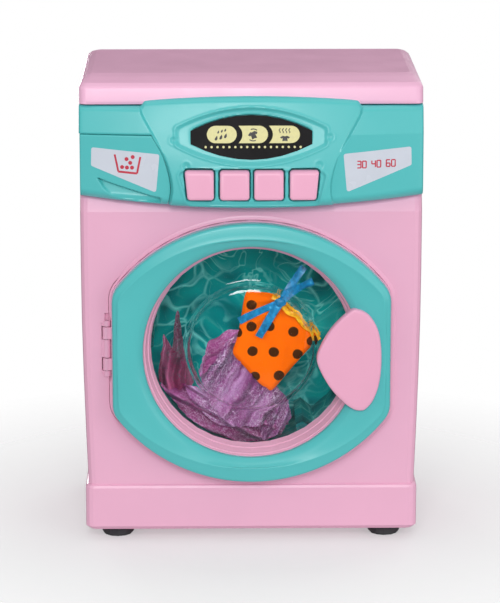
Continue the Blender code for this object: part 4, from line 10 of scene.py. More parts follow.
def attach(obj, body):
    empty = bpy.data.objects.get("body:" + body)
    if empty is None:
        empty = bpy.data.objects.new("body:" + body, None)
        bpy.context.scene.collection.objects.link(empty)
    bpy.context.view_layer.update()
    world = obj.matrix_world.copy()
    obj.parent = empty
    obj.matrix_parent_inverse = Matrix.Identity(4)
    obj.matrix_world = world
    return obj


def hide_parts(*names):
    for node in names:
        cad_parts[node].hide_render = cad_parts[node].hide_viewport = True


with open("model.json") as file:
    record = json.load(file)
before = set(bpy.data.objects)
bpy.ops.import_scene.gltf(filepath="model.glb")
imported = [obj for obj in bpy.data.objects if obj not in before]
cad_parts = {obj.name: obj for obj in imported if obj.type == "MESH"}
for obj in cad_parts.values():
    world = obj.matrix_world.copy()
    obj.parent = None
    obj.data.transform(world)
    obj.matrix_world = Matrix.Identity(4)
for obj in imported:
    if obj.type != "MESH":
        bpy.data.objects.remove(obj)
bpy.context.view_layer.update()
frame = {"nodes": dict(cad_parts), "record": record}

MM = 0.001

# Sizes in metres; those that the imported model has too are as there
HALF_WIDTH = 0.0900
FACE_Y = -0.0520
BACK_Y = 0.0620
UPPER_FACE_Y = -0.0420
SHOULDER_TOP_Y = -0.0475
SHOULDER_TOP_Z = 0.1900
SHOULDER_SLOPE = 0.45
LEDGE_Z = 0.1920
FIT_GAP = 0.0003
FASCIA_LOW_Z = 0.1840
FASCIA_LOW_RISE = 0.0052
FASCIA_TOP_Z = 0.2360
FASCIA_LIMIT_Z = 0.2412
ARCH_STEP = 0.0026
ARCH_RISE = 0.0024
ARCH_RAMP = 0.0026
CREASE_Z = 0.2220
WING_PROUD = 0.0030
CENTRE_PROUD = 0.0130
SEAM_STEP = 0.0022
SEAM_SOFTNESS = 0.0007
SEAM_HALF_WIDTH = 0.0579
SEAM_SHARES = [(0.00, 0.741), (0.18, 0.713), (0.34, 0.731), (0.53, 0.786), (0.72, 0.879),
               (0.92, 0.981), (1.00, 1.000)]
CENTRE_LEAN = 0.0098
CENTRE_LEAN_POWER = 1.7
WING_LOWER_LEAN = 0.0012
WING_UPPER_LEAN = 0.0040
BOTTOM_BAND = 0.0044
BOTTOM_DROP = 0.0034
TOP_BAND = 0.0024
TOP_DROP = 0.0018
DRAWER_GAP = 0.0004
DISPLAY_Z = 0.2212
DISPLAY_TILT = math.radians(15.0)
DISPLAY_ART_THICK = 0.05 * MM
BEZEL = (0.0395, 0.0149)
DISPLAY = (0.0317, 0.0117)
BLUNT_SHARE = 0.30
BEZEL_DEPTH = 0.0023
BEZEL_LIP = 0.30 * MM
DISPLAY_STEP = 0.12 * MM
DISPLAY_SINK = 1.6 * MM
CENTRE_REACH = 0.0440
BUTTON_XS = [0.0395 * share for share in (-0.691, -0.223, 0.228, 0.699)]
BUTTON_Z = 0.1965
BUTTON_TILT = math.radians(6.0)
BUTTON_HALF = (0.0077, 0.0079)
BUTTON_SLANT = 0.0016
BUTTON_CORNER = 0.0017
BUTTON_SUNK = 0.0007
BUTTON_FIELD_UP = 0.0110
BUTTON_REACH = 0.0200
BUTTON_HOLE_DEPTH = 6.2 * MM
BUTTON_FOLD_DOWN = 2.3 * MM
BUTTON_FOLD_SLOPE = 0.45
CLUSTER_SINK = 0.95 * MM
CLUSTER_LIP = 0.30 * MM
DIMPLE_SINK = 0.55 * MM
DIMPLE_LIP = 0.10 * MM
GRIP_SINK = 3.4 * MM
GRIP_REACH = 7.5 * MM
GRIP_EDGE_SINK = 0.9 * MM
JOINT_REACH = 0.9 * MM
JOINT_ROUND = 0.8 * MM
SIDE_REACH = 1.0 * MM
SIDE_ROUND = 1.1 * MM
RING_Z = 0.1050
RING_HALF_WIDTH = 0.0735
RING_HALF_HEIGHT = 0.0703
RING_ARC = 0.0900
RING_CORNER = 0.0130
RING_FRONT_Y = -0.0630
RING_DEPTH = 6.9
OPENING_RADIUS = 0.0574
SLOPE_RADIUS = 0.0612
WINDOW_RADIUS = 0.0552
WINDOW_RIM_Y = -0.0423
WINDOW_THICK = 1.2 * MM
WINDOW_STEP_Y = WINDOW_RIM_Y - 1.2 * MM
DOME_RADIUS = 0.0333
DOME_STEPS = 18
HINGE_Z = 0.10635
HINGE_HALF = 0.0190
HINGE_SIDE_X = -0.0700
HINGE_PLATE_RIGHT = -0.0757
FLANGE_TUCK = 1.68 * MM
FLANGE_TUCK_X = -0.0640
FUNNEL_STEPS = [(0.0566, -0.0535), (0.0548, -0.0478)]
HANDLE_CENTRE = (0.0515, 0.1022)
HANDLE_HALF = (0.0170, 0.0275)
HANDLE_FRONT_Y = -0.0645
HANDLE_BACK_Y = -0.0593
HANDLE_PIXELS = [(358.4, 305.4), (350.8, 307.0), (334.6, 321.7), (323.7, 337.9), (317.8, 352.5),
                 (320.5, 364.9), (331.3, 383.4), (344.3, 397.5), (354.1, 404.5), (360.6, 406.1),
                 (367.1, 404.5), (374.7, 395.3), (380.1, 380.1), (382.3, 361.0), (381.7, 340.1),
                 (377.9, 323.8), (369.3, 310.8)]
LID_LIP_Y = -0.0500
LID_LOW_Z = 0.2368
LID_LIP_TOP = (0.5, 2.7, 0.2461)
DRUM_INNER_RADIUS = 0.0602
DRUM_FLOOR_Y = 0.0162
CLOTH_LIMIT = DRUM_INNER_RADIUS - 0.8 * MM
CLOTH_FAR_Y = DRUM_FLOOR_Y - 6.0 * MM
CLOTH_NEAR_Y = (-0.0355, -0.0338)
CLOTH_NEAR_SIDE_X = -0.02
LAUNDRY_Y = -0.0335
FOLD_FADE = 0.020
HEM_Y = -0.0356
THREAD_Y = -0.0362

# Photograph measures: pixels from the middle line and the door's middle to metres
PIXEL_ACROSS = 0.525 * MM
PIXEL_UP = 0.546 * MM
MIDDLE_PIXEL = (252.0, 350.5)
DISPLAY_PIXEL_UP = 0.544 * MM
DISPLAY_PIXEL = 138.4

# The camera: the view that fits the points measured on the photograph
FOCAL_PIXELS = 3000.0
FRAME_PIXELS = (500.0, 603.0)
CAMERA_PITCH = math.radians(13.3)
CAMERA_YAW = math.radians(-0.8)
CAMERA_DISTANCE = 1.578
CAMERA_AIM = Vector((-0.0008, -0.0600, 0.1335))
CAMERA_AWAY = Vector((math.sin(CAMERA_YAW) * math.cos(CAMERA_PITCH),
                      -math.cos(CAMERA_YAW) * math.cos(CAMERA_PITCH), math.sin(CAMERA_PITCH)))
DOOR_SHIFT_PIXELS = 2.0


def from_photo(px, py):
    """A place on the front of the machine (x, z), from a pixel of the photograph."""
    return ((px - MIDDLE_PIXEL[0]) * PIXEL_ACROSS, RING_Z + (MIDDLE_PIXEL[1] - py) * PIXEL_UP)


def in_drum(px, py, y=LAUNDRY_Y):
    """A place (x, z) behind the window at a depth, on the sight line of a pixel."""
    ahead = -CAMERA_AWAY
    right = ahead.cross(Vector((0.0, 0.0, 1.0))).normalized()
    up = right.cross(ahead)
    sight = (ahead * FOCAL_PIXELS + right * (px - FRAME_PIXELS[0] / 2)
             - up * (py + DOOR_SHIFT_PIXELS - FRAME_PIXELS[1] / 2))
    eye = CAMERA_AIM + CAMERA_AWAY * CAMERA_DISTANCE
    place = eye + sight * ((y - eye.y) / sight.y)
    return (place.x, place.z)


# ---------------------------------------------------------------- materials
def shaded(colour, factor=1.0):
    """The linear colour of an sRGB one, made lighter or darker."""
    linear = (c / 12.92 if c <= 0.04045 else ((c + 0.055) / 1.055) ** 2.4 for c in colour)
    return (*(min(1.0, c * factor) for c in linear), 1.0)


class Graph:
    """The nodes of a material or world, with short ways to add them."""

    def __init__(self, tree):
        self.tree = tree

    def feed(self, socket, value):
        if isinstance(value, bpy.types.NodeSocket):
            self.tree.links.new(value, socket)
        else:
            socket.default_value = value

    def node(self, kind, *feeds, **values):
        """Feeds go to the inputs in turn, each value to the property or input of its name."""
        made = self.tree.nodes.new("ShaderNode" + kind)
        for key, value in values.items():
            if hasattr(made, key):
                setattr(made, key, value)
            else:
                self.feed(made.inputs[key.replace("_", " ")], value)
        for socket, value in zip(made.inputs, feeds):
            self.feed(socket, value)
        return made

    def math(self, operation, first, second=0.0, **values):
        return self.node("Math", first, second, operation=operation, **values).outputs["Value"]

    def span(self, source, low, high, start=0.3, end=0.7):
        return self.node("MapRange", source, start, end, low, high).outputs["Result"]


class Surface(Graph):
    """A Principled material."""

    def __init__(self, name):
        self.material = bpy.data.materials.new(name)
        self.material.use_nodes = True
        super().__init__(self.material.node_tree)
        self.shader = self.tree.nodes["Principled BSDF"]
        self.place = self.node("TexCoord").outputs["Object"]

    def flat(self):
        """The cloth's own flat coordinates, which are in metres."""
        return self.node("UVMap", uv_map="flat").outputs["UV"]

    def noise(self, scale, detail=2.0, roughness=0.5, vector=None, distortion=0.0):
        return self.node("TexNoise", Vector=vector or self.place, Scale=scale, Detail=detail,
                         Roughness=roughness, Distortion=distortion).outputs["Fac"]

    def edges(self, scale, vector):
        """Distance to the edges of a net of cells."""
        return self.node("TexVoronoi", feature="DISTANCE_TO_EDGE", Vector=vector,
                         Scale=scale).outputs["Distance"]

    def stretched(self, vector, scale):
        return self.node("Mapping", Vector=vector, Scale=scale).outputs["Vector"]

    def ramp(self, source, *stops):
        made = self.node("ValToRGB", source)
        marks = made.color_ramp.elements
        while len(marks) < len(stops):
            marks.new(0.5)
        for mark, (position, colour) in zip(marks, stops):
            mark.position = position
            mark.color = colour
        return made.outputs["Color"]

    def tones(self, source, colour, *stops):
        """A ramp over shades of one colour."""
        return self.ramp(source, *((position, shaded(colour, factor)) for position, factor in stops))

    def mix(self, factor, first, second):
        made = self.node("Mix", data_type="RGBA")
        for place, value in ((0, factor), (6, first), (7, second)):
            self.feed(made.inputs[place], value)
        return made.outputs[2]

    def bump(self, height, strength, distance, **values):
        return self.node("Bump", Height=height, Strength=strength, Distance=distance,
                         **values).outputs["Normal"]

    def finish(self, **values):
        for key, value in values.items():
            self.feed(self.shader.inputs[key.replace("_", " ")], value)
        return self.material


def plastic(name, colour, rough, tone=0.018, grain=0.05, coat=0.0, cloud=22.0, shine=0.5, flow_bump=0.03):
    """Moulded plastic: faint clouding, a fine grain and uneven gloss."""
    made = Surface(name)
    clouds = made.tones(made.noise(cloud, 4.0, 0.55), colour, (0.30, 1.0 - tone), (0.70, 1.0 + tone))
    flow = made.noise(55.0, 3.0, 0.6)
    normal = made.bump(flow, flow_bump, 0.6 * MM)
    return made.finish(Base_Color=clouds, Roughness=made.span(flow, rough - 0.05, rough + 0.05),
                       Normal=made.bump(made.noise(1400.0), grain, 0.05 * MM, Normal=normal),
                       Coat_Weight=coat, Coat_Roughness=0.12, Specular_IOR_Level=shine)


def metal(name, colour):
    """Machined metal: fine streaks in gloss and tone."""
    made = Surface(name)
    streaks = made.noise(900.0, 3.0, 0.6)
    spots = made.tones(made.noise(160.0, 3.0), colour, (0.3, 0.88), (0.7, 1.06))
    return made.finish(Base_Color=spots, Metallic=1.0, Roughness=made.span(streaks, 0.20, 0.38),
                       Normal=made.bump(streaks, 0.15, 0.05 * MM))


def ink(name, colour):
    """Printed ink with a slightly uneven film."""
    made = Surface(name)
    film = made.noise(500.0, 3.0, 0.6)
    return made.finish(Base_Color=made.tones(film, colour, (0.3, 0.93), (0.7, 1.05)),
                       Roughness=made.span(film, 0.35, 0.48))


def caustic_print(name):
    """The printed water: teal with a net of pale wavy lines and deeper pools, with painted shade on faces
    turned upwards and near the drum's mouth.
    """
    made = Surface(name)
    warp = made.node("TexNoise", Vector=made.place, Scale=28.0, Detail=2.0).outputs["Color"]
    warped = made.node("VectorMath", warp, (0.045, 0.045, 0.045), made.place, operation="MULTIPLY_ADD")
    stretch = made.stretched(warped.outputs["Vector"], (0.75, 0.6, 1.25))
    level = made.math("ABSOLUTE", made.math("SUBTRACT", made.noise(34.0, 2.0, 0.55, stretch, 1.6), 0.5))
    pools = made.noise(24.0, 3.0, 0.6)
    colour = made.ramp(pools, (0.28, shaded((0.00, 0.30, 0.33))), (0.48, shaded((0.00, 0.56, 0.57))),
                       (0.70, shaded((0.03, 0.80, 0.77))))
    glow = made.span(made.edges(30.0, stretch), 0.55, 0.0, 0.0, 0.26)
    curl = made.math("MULTIPLY", made.span(level, 0.75, 0.0, 0.004, 0.022),
                     made.span(pools, 0.0, 1.0, 0.40, 0.60))
    line = made.math("MULTIPLY", made.span(made.edges(70.0, stretch), 0.8, 0.0, 0.0, 0.08),
                     made.span(made.noise(17.0), 0.0, 1.0, 0.42, 0.62))
    # Painted shade: the print turns darker teal on faces that turn upwards and on the drum's front near its
    # mouth
    slope = made.node("SeparateXYZ", made.node("NewGeometry").outputs["Normal"]).outputs["Z"]
    depth = made.node("SeparateXYZ", made.place).outputs["Y"]
    for factor, tint in ((glow, (0.04, 0.76, 0.74)), (curl, (0.58, 1.00, 0.97)), (line, (0.60, 1.00, 0.98)),
                         (made.span(slope, 0.0, 0.55, 0.55, 0.95), (0.0, 0.22, 0.25)),
                         (made.span(depth, 0.80, 0.0, -0.032, -0.014), (0.0, 0.24, 0.27))):
        colour = made.mix(factor, colour, shaded(tint))
    return made.finish(Base_Color=colour, Roughness=made.span(pools, 0.40, 0.55), Specular_IOR_Level=0.04)


def clear_plastic(name):
    """Clear moulded plastic that lets the lamps through to what is behind it."""
    made = Surface(name)
    made.finish(Base_Color=(0.96, 0.99, 0.99, 1.0), Transmission_Weight=1.0, IOR=1.42, Roughness=0.02,
                Specular_IOR_Level=0.05, Normal=made.bump(made.noise(40.0, 3.0), 0.10, 0.6 * MM))
    through = made.node("BsdfTransparent", Color=(0.97, 0.99, 0.99, 1.0)).outputs["BSDF"]
    mixed = made.node("MixShader", made.node("LightPath").outputs["Is Shadow Ray"],
                      made.shader.outputs["BSDF"], through)
    made.feed(made.tree.nodes["Material Output"].inputs["Surface"], mixed.outputs["Shader"])
    return made.material


WEAVE_PITCH = 0.45 * MM
DOT_RADIUS = 2.75 * MM
DOTS = [in_drum(px, py) for px, py in
        ((251.5, 302.7), (251.5, 324.5), (269.5, 324.0), (293.4, 329.8), (237.0, 330.6), (252.7, 349.2),
         (273.8, 350.0), (297.5, 352.4), (255.1, 374.7), (278.9, 373.5), (311.5, 339.0))]


def dotted_cloth(name, colour, dark):
    """Plain-woven cotton with round dots."""
    made = Surface(name)
    flat = made.flat()
    threads = [made.node("TexWave", bands_direction=direction, Vector=flat, Scale=0.314 / WEAVE_PITCH,
                         Distortion=0.6, Detail_Scale=60.0).outputs["Fac"] for direction in "XY"]
    weave = made.math("MULTIPLY", *threads)
    tone = made.noise(90.0, 3.0, 0.6, flat)
    base = made.mix(made.span(weave, 0.35, 0.0, 0.0, 0.6), shaded(colour), shaded(colour, 0.72))
    reach = 1.0
    for x, z in DOTS:
        apart = made.node("VectorMath", flat, (x, z, 0.0), operation="DISTANCE")
        reach = made.math("MINIMUM", apart.outputs["Value"], reach)
    reach = made.math("ADD", reach, made.math("MULTIPLY", made.math("SUBTRACT", tone, 0.5), 0.9 * MM))
    dot = made.span(reach, 1.0, 0.0, DOT_RADIUS - 0.1 * MM, DOT_RADIUS + 0.15 * MM)
    return made.finish(Base_Color=made.mix(dot, base, shaded(dark)), Roughness=made.span(tone, 0.79, 0.90),
                       Normal=made.bump(weave, 0.25, 0.10 * MM), Specular_IOR_Level=0.03)


def satin(name, colour, painted_glint):
    """Satin ribbon: long soft threads, gloss, and painted sheen: a darker shade, brighter patches and pale
    painted glints in its colour.
    """
    made = Surface(name)
    flat = made.flat()
    wave = made.node("TexWave", bands_direction="Y", Vector=flat, Scale=900.0, Distortion=1.0)
    tone = made.noise(260.0, 3.0, 0.6, flat)
    # Painted sheen: the colour runs from a painted shade through brighter patches to a pale painted glint
    base = made.ramp(tone, (0.32, shaded(colour, 0.45)), (0.50, shaded(colour)),
                     (0.60, shaded(colour, 1.35)), (0.72, shaded(painted_glint)))
    return made.finish(Base_Color=base, Roughness=made.span(tone, 0.26, 0.42),
                       Normal=made.bump(wave.outputs["Fac"], 0.2, 0.06 * MM), Specular_IOR_Level=0.45)


def tulle(name, colour, light, cover, painted_glint_share):
    """Sheer net: fine threads with clear holes between, and painted highlights: pale glints on the crinkles
    along the folds.
    """
    made = Surface(name)
    flat = made.flat()
    threads = made.span(made.edges(1300.0, flat), 1.0, 0.0, 0.10, 0.30)
    crinkle = made.noise(1250.0, 4.0, 0.65, made.stretched(flat, (1.0, 0.55, 1.0)), 1.4)
    folds = made.noise(95.0, 3.0, 0.55, made.stretched(flat, (1.0, 0.22, 1.0)), 0.8)
    patches = made.span(made.noise(45.0, 2.0, 0.5, flat), 0.15, 1.0, 0.36, 0.60)
    base = made.ramp(folds, (0.32, shaded(colour, 0.50)), (0.50, shaded(colour)), (0.66, shaded(light)))
    # Painted highlight: pale glints where the crinkle noise peaks, in patches, scaled by the painted glint
    # share
    painted_glint = made.math("MULTIPLY", made.span(crinkle, 0.0, painted_glint_share, 0.48, 0.62), patches)
    alpha = made.math("ADD", made.math("MULTIPLY", threads, 0.30), cover)
    return made.finish(Base_Color=made.mix(painted_glint, base, shaded((0.95, 0.86, 0.96))), Alpha=alpha,
                       Roughness=made.span(crinkle, 0.35, 0.6),
                       Normal=made.bump(crinkle, 0.5, 0.25 * MM), Specular_IOR_Level=0.3)


PINK = plastic("moulded_pink", (0.95, 0.715, 0.82), 0.33)
# The lid's pink is lighter than the cabinet's: a painted highlight that brightens its upright lip
LID_PINK_PAINTED_HIGHLIGHT = plastic("moulded_pink_lid_painted_highlight", (0.965, 0.745, 0.855), 0.34, grain=0.0, flow_bump=0.0)
CAP_PINK = plastic("moulded_pink_cap", (0.955, 0.69, 0.80), 0.34)
TEAL = plastic("moulded_teal", (0.34, 0.765, 0.765), 0.33, coat=0.05)
BLACK = plastic("display_black", (0.085, 0.075, 0.085), 0.5, tone=0.15, cloud=600.0, shine=0.15)
WATER = caustic_print("water_print")
CLEAR = clear_plastic("clear_window")
LABEL = plastic("label_film", (0.83, 0.85, 0.89), 0.24, tone=0.03, coat=0.3, cloud=70.0)
RED_INK = ink("red_ink", (0.80, 0.22, 0.30))
CREAM_INK = ink("cream_ink", (0.87, 0.84, 0.58))
DARK_INK = ink("dark_ink", (0.14, 0.13, 0.12))
DRESS = dotted_cloth("dotted_cotton", (1.0, 0.42, 0.0), (0.27, 0.14, 0.04))
# Each satin's second colour is its painted glint
RIBBON = satin("blue_satin", (0.0, 0.46, 0.66), (0.45, 0.84, 0.96))
HEM = satin("gold_hem", (1.0, 0.70, 0.04), (1.0, 0.90, 0.40))
# Each tulle's last number is its share of painted glints
TULLE_DEEP = tulle("tulle_deep", (0.52, 0.14, 0.40), (0.66, 0.30, 0.56), 0.72, 0.50)
TULLE_SIDE = tulle("tulle_side", (0.52, 0.14, 0.32), (0.70, 0.32, 0.50), 0.60, 0.30)
TULLE_PALE = tulle("tulle_pale", (0.58, 0.24, 0.52), (0.80, 0.56, 0.78), 0.60, 0.90)

SLOT_MATERIALS = {
    "pink_plastic": PINK, "teal_plastic": TEAL, "clear_plastic": CLEAR, "black_display": BLACK,
    "water_print": WATER, "orange_cloth": DRESS, "blue_satin": RIBBON, "lilac_tulle": TULLE_PALE,
    "rubber": plastic("foot_rubber", (0.24, 0.24, 0.25), 0.75, grain=0.4),
    "steel": metal("plated_steel", (0.78, 0.78, 0.79)),
    "brass": metal("turned_brass", (0.85, 0.70, 0.40)),
    "white_plastic": plastic("moulded_white", (0.93, 0.93, 0.91), 0.38),
    "grey_plastic": plastic("moulded_grey", (0.70, 0.71, 0.72), 0.42),
    "dark_plastic": plastic("moulded_dark", (0.13, 0.13, 0.14), 0.42),
    "board_green": plastic("board_green", (0.10, 0.42, 0.22), 0.35, tone=0.12, cloud=300.0),
    "cell_wrap": plastic("cell_wrap", (0.30, 0.34, 0.66), 0.25, tone=0.06, coat=0.4),
    "red_wire": plastic("red_wire", (0.75, 0.10, 0.10), 0.4),
    "black_wire": plastic("black_wire", (0.10, 0.10, 0.10), 0.4),
}
for part in frame["record"]["subparts"]:
    finish = WATER if part["node"] == "drum" else SLOT_MATERIALS[part["material_slot"]]
    for place in frame["nodes"][part["node"]].material_slots:
        place.material = finish


# ---------------------------------------------------------------- mesh helpers
def add(name, shape, finish, body, sharp=40.0, replaced=()):
    """A new piece, from a bmesh or (points, faces), that rides on a body and may stand for CAD nodes."""
    mesh = bpy.data.meshes.new(name)
    if isinstance(shape, bmesh.types.BMesh):
        shape.to_mesh(mesh)
        shape.free()
    else:
        points, faces = shape
        mesh.from_pydata([tuple(point) for point in points], [], faces)
        mesh.validate()
        mesh.update()
    mesh.shade_smooth()
    if sharp:
        mesh.set_sharp_from_angle(angle=math.radians(sharp))
    mesh.materials.append(finish)
    piece = bpy.data.objects.new(name, mesh)
    bpy.context.scene.collection.objects.link(piece)
    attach(piece, body)
    if replaced:
        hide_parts(*replaced)
    return piece


def skin(loops, ring=False):
    """Points and faces of a row of loops with as many points each, capped unless it is a ring."""
    count = len(loops[0])
    faces = []
    for row in range(len(loops) if ring else len(loops) - 1):
        low, high = row * count, (row + 1) % len(loops) * count
        for step in range(count):
            after = (step + 1) % count
            faces.append((low + step, low + after, high + after, high + step))
    if not ring:
        last = (len(loops) - 1) * count
        faces += [tuple(reversed(range(count))), tuple(range(last, last + count))]
    return [point for loop in loops for point in loop], faces


def facing(outline, y):
    return [(x, y, z) for x, z in outline]


def arc(centre, radius, start, end, steps):
    turns = [start + (end - start) * step / steps for step in range(steps + 1)]
    return [(centre[0] + radius * math.cos(turn), centre[1] + radius * math.sin(turn)) for turn in turns]


def circle(centre, radius, steps):
    return arc(centre, radius, 0.0, 2 * math.pi, steps)[:-1]


def scaled(outline, centre, share):
    return [(centre[0] + (x - centre[0]) * share, centre[1] + (z - centre[1]) * share) for x, z in outline]


def middle_of(outline):
    return (sum(x for x, _ in outline) / len(outline), sum(z for _, z in outline) / len(outline))


def signed_area(outline):
    """Twice the area inside, above zero where the outline runs counterclockwise."""
    return sum(a[0] * b[1] - b[0] * a[1] for a, b in zip(outline, outline[1:] + outline[:1]))


def smooth_step(value):
    value = min(1.0, max(0.0, value))
    return value * value * (3.0 - 2.0 * value)


def rise(value, start, width):
    """From 0 to 1 as a value passes from a start over a width, both in millimetres."""
    return smooth_step((value - start * MM) / (width * MM))


def bulge(value, middle, width):
    """1 at the middle and 0 a width away, both in millimetres."""
    return smooth_step(1.0 - abs(value - middle * MM) / (width * MM))


def between(table, share):
    """Read a table of (share, value) pairs at a share, along a smooth curve."""
    share = min(1.0, max(0.0, share))
    place = 0
    while place < len(table) - 2 and share > table[place + 1][0]:
        place += 1
    (low, before), (high, after) = table[place], table[place + 1]
    first = table[max(0, place - 1)]
    last = table[min(len(table) - 1, place + 2)]
    rise_in = (after - first[1]) / (high - first[0]) * (high - low)
    rise_out = (last[1] - before) / (last[0] - low) * (high - low)
    t = (share - low) / (high - low)
    return (before * (2 * t ** 3 - 3 * t ** 2 + 1) + rise_in * (t ** 3 - 2 * t ** 2 + t)
            + after * (3 * t ** 2 - 2 * t ** 3) + rise_out * (t ** 3 - t ** 2))


def curve(a, b, c, d, t):
    """The point a share t of the way from b to c, on a smooth curve through all four."""
    return 0.5 * (2 * b + (c - a) * t + (2 * a - 5 * b + 4 * c - d) * t * t
                  + (3 * b - a - 3 * c + d) * t * t * t)


def rounded_loop(corners, steps):
    """A closed smooth curve through its corners, with several points between each two."""
    knots = [Vector(corner) for corner in corners]
    count = len(knots)
    return [tuple(curve(knots[place - 1], knots[place], knots[(place + 1) % count],
                        knots[(place + 2) % count], step / steps))
            for place in range(count) for step in range(steps)]


def rounded_corners(corners, radius, steps=8):
    """A polygon with its corners rounded off."""
    points = []
    for index, corner in enumerate(corners):
        here = Vector(corner)
        before = (Vector(corners[index - 1]) - here).normalized()
        after = (Vector(corners[(index + 1) % len(corners)]) - here).normalized()
        half = before.angle(after) / 2
        start = here + before * radius / math.tan(half)
        end = here + after * radius / math.tan(half)
        centre = here + (before + after).normalized() * radius / math.sin(half)
        for step in range(steps + 1):
            arm = (start - centre).lerp(end - centre, step / steps).normalized() * radius
            points.append(tuple(centre + arm))
    return points


def headings(points, closed=False):
    """The direction of travel at each point of a line or a closed outline."""
    count = len(points)
    found = []
    for place in range(count):
        if closed:
            before, after = points[place - 1], points[(place + 1) % count]
        else:
            before, after = points[max(0, place - 1)], points[min(count - 1, place + 1)]
        found.append(Vector((after[0] - before[0], after[1] - before[1])).normalized())
    return found


def inset(outline, distance):
    """Move a closed outline inwards by a distance, along its own normals."""
    distance = math.copysign(distance, signed_area(outline))
    return [(x - along.y * distance, z + along.x * distance)
            for (x, z), along in zip(outline, headings(outline, True))]


def stroke(points, width):
    """An open line of a width as one closed outline."""
    sides = [[(x - along.y * side, z + along.x * side) for (x, z), along in zip(points, headings(points))]
             for side in (width / 2, -width / 2)]
    return sides[0] + sides[1][::-1]


def distance_to(outline, x, z):
    """Distance from a point to a closed outline, positive inside."""
    best = 1.0
    inside = False
    for (ax, az), (bx, bz) in zip(outline, outline[1:] + outline[:1]):
        run_x, run_z = bx - ax, bz - az
        length = run_x * run_x + run_z * run_z
        share = max(0.0, min(1.0, ((x - ax) * run_x + (z - az) * run_z) / length)) if length else 0.0
        best = min(best, math.hypot(x - ax - share * run_x, z - az - share * run_z))
        if (az > z) != (bz > z) and x < ax + (z - az) / (bz - az) * run_x:
            inside = not inside
    return best if inside else -best


# ---------------------------------------------------------------- fascia surface
def seam_x(z):
    return SEAM_HALF_WIDTH * between(SEAM_SHARES, (z - FASCIA_LOW_Z) / (FASCIA_TOP_Z - FASCIA_LOW_Z))


def fascia_low_z(x):
    return FASCIA_LOW_Z + FASCIA_LOW_RISE * (x / HALF_WIDTH) ** 2


def fascia_top_z(x):
    share = abs(x) / SEAM_HALF_WIDTH
    ramp = smooth_step((SEAM_HALF_WIDTH - abs(x)) / ARCH_RAMP)
    return FASCIA_TOP_Z + ARCH_STEP * ramp + ARCH_RISE * max(0.0, 1.0 - share * share)


def fascia_base_y(x, z):
    """Depth of the fascia's outer surface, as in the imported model."""
    crest_z = FASCIA_LOW_Z + BOTTOM_BAND
    share = max(0.0, z - crest_z) / (FASCIA_TOP_Z - crest_z)
    centre = CENTRE_LEAN * share ** CENTRE_LEAN_POWER
    low = WING_LOWER_LEAN * min(1.0, max(0.0, z - FASCIA_LOW_Z) / (CREASE_Z - FASCIA_LOW_Z))
    high = WING_UPPER_LEAN * max(0.0, z - CREASE_Z) / (FASCIA_TOP_Z - CREASE_Z)
    raised = smooth_step((seam_x(z) - abs(x)) / (2 * SEAM_SOFTNESS) + 0.5)
    lean = raised * centre + (1.0 - raised) * (low + high)
    bow = CENTRE_PROUD - SEAM_STEP - WING_PROUD
    proud = WING_PROUD + bow * (1.0 - (x / HALF_WIDTH) ** 2) + SEAM_STEP * raised
    low_share = min(1.0, max(0.0, z - fascia_low_z(x)) / BOTTOM_BAND)
    top_share = min(1.0, max(0.0, fascia_top_z(x) - z) / TOP_BAND)
    drop = BOTTOM_DROP * (1.0 - low_share) ** 2 + TOP_DROP * (1.0 - top_share) ** 2
    return FACE_Y - proud + lean + drop


def lens_reach(x, z, half):
    """About how far inside the display's outline a point lies."""
    blunt = half[1] * BLUNT_SHARE
    share = min(1.0, abs(x) / half[0])
    top = blunt + (half[1] - blunt) * (1.0 - share * share) - abs(z)
    top = top / math.hypot(1.0, 2.0 * (half[1] - blunt) * share / half[0])
    side = half[0] - abs(x)
    soft = 1.8 * MM
    blend = max(0.0, soft - abs(top - side)) / soft
    return min(top, side) - blend * blend * soft / 4.0


def button_outline(number, margin=0.0, steps=8):
    x = BUTTON_XS[number]
    half_width, half_height = BUTTON_HALF[0] + margin, BUTTON_HALF[1] + margin
    left = BUTTON_SLANT if number == 0 else 0.0
    right = BUTTON_SLANT if number == 3 else 0.0
    corners = [(x + half_width - right, BUTTON_Z - half_height), (x + half_width, BUTTON_Z + half_height),
               (x - half_width, BUTTON_Z + half_height), (x - half_width + left, BUTTON_Z - half_height)]
    return rounded_corners(corners, BUTTON_CORNER + margin, steps)


BUTTON_HOLES = [button_outline(number, 0.35 * MM, 3) for number in range(4)]
CLUSTER = rounded_corners([from_photo(px, py) for px, py in
                           ((189.5, 202.6), (318.0, 202.6), (326.0, 171.5), (252.0, 168.0), (179.0, 170.5))],
                          2.2 * MM, 3)
DIMPLES = [(-0.0404, 0.2193), (-0.0340, 0.2062), (0.0409, 0.2208), (0.0354, 0.2066)]
GRIP = [from_photo(px, py) for px, py in
        ((99.5, 178.5), (114.0, 183.6), (132.0, 189.0), (148.0, 193.6), (161.5, 196.9), (161.0, 201.6),
         (140.0, 199.6), (114.5, 196.4), (104.5, 187.0))]
GRIP_BOX = (-0.0840, -0.0465, 0.2020)


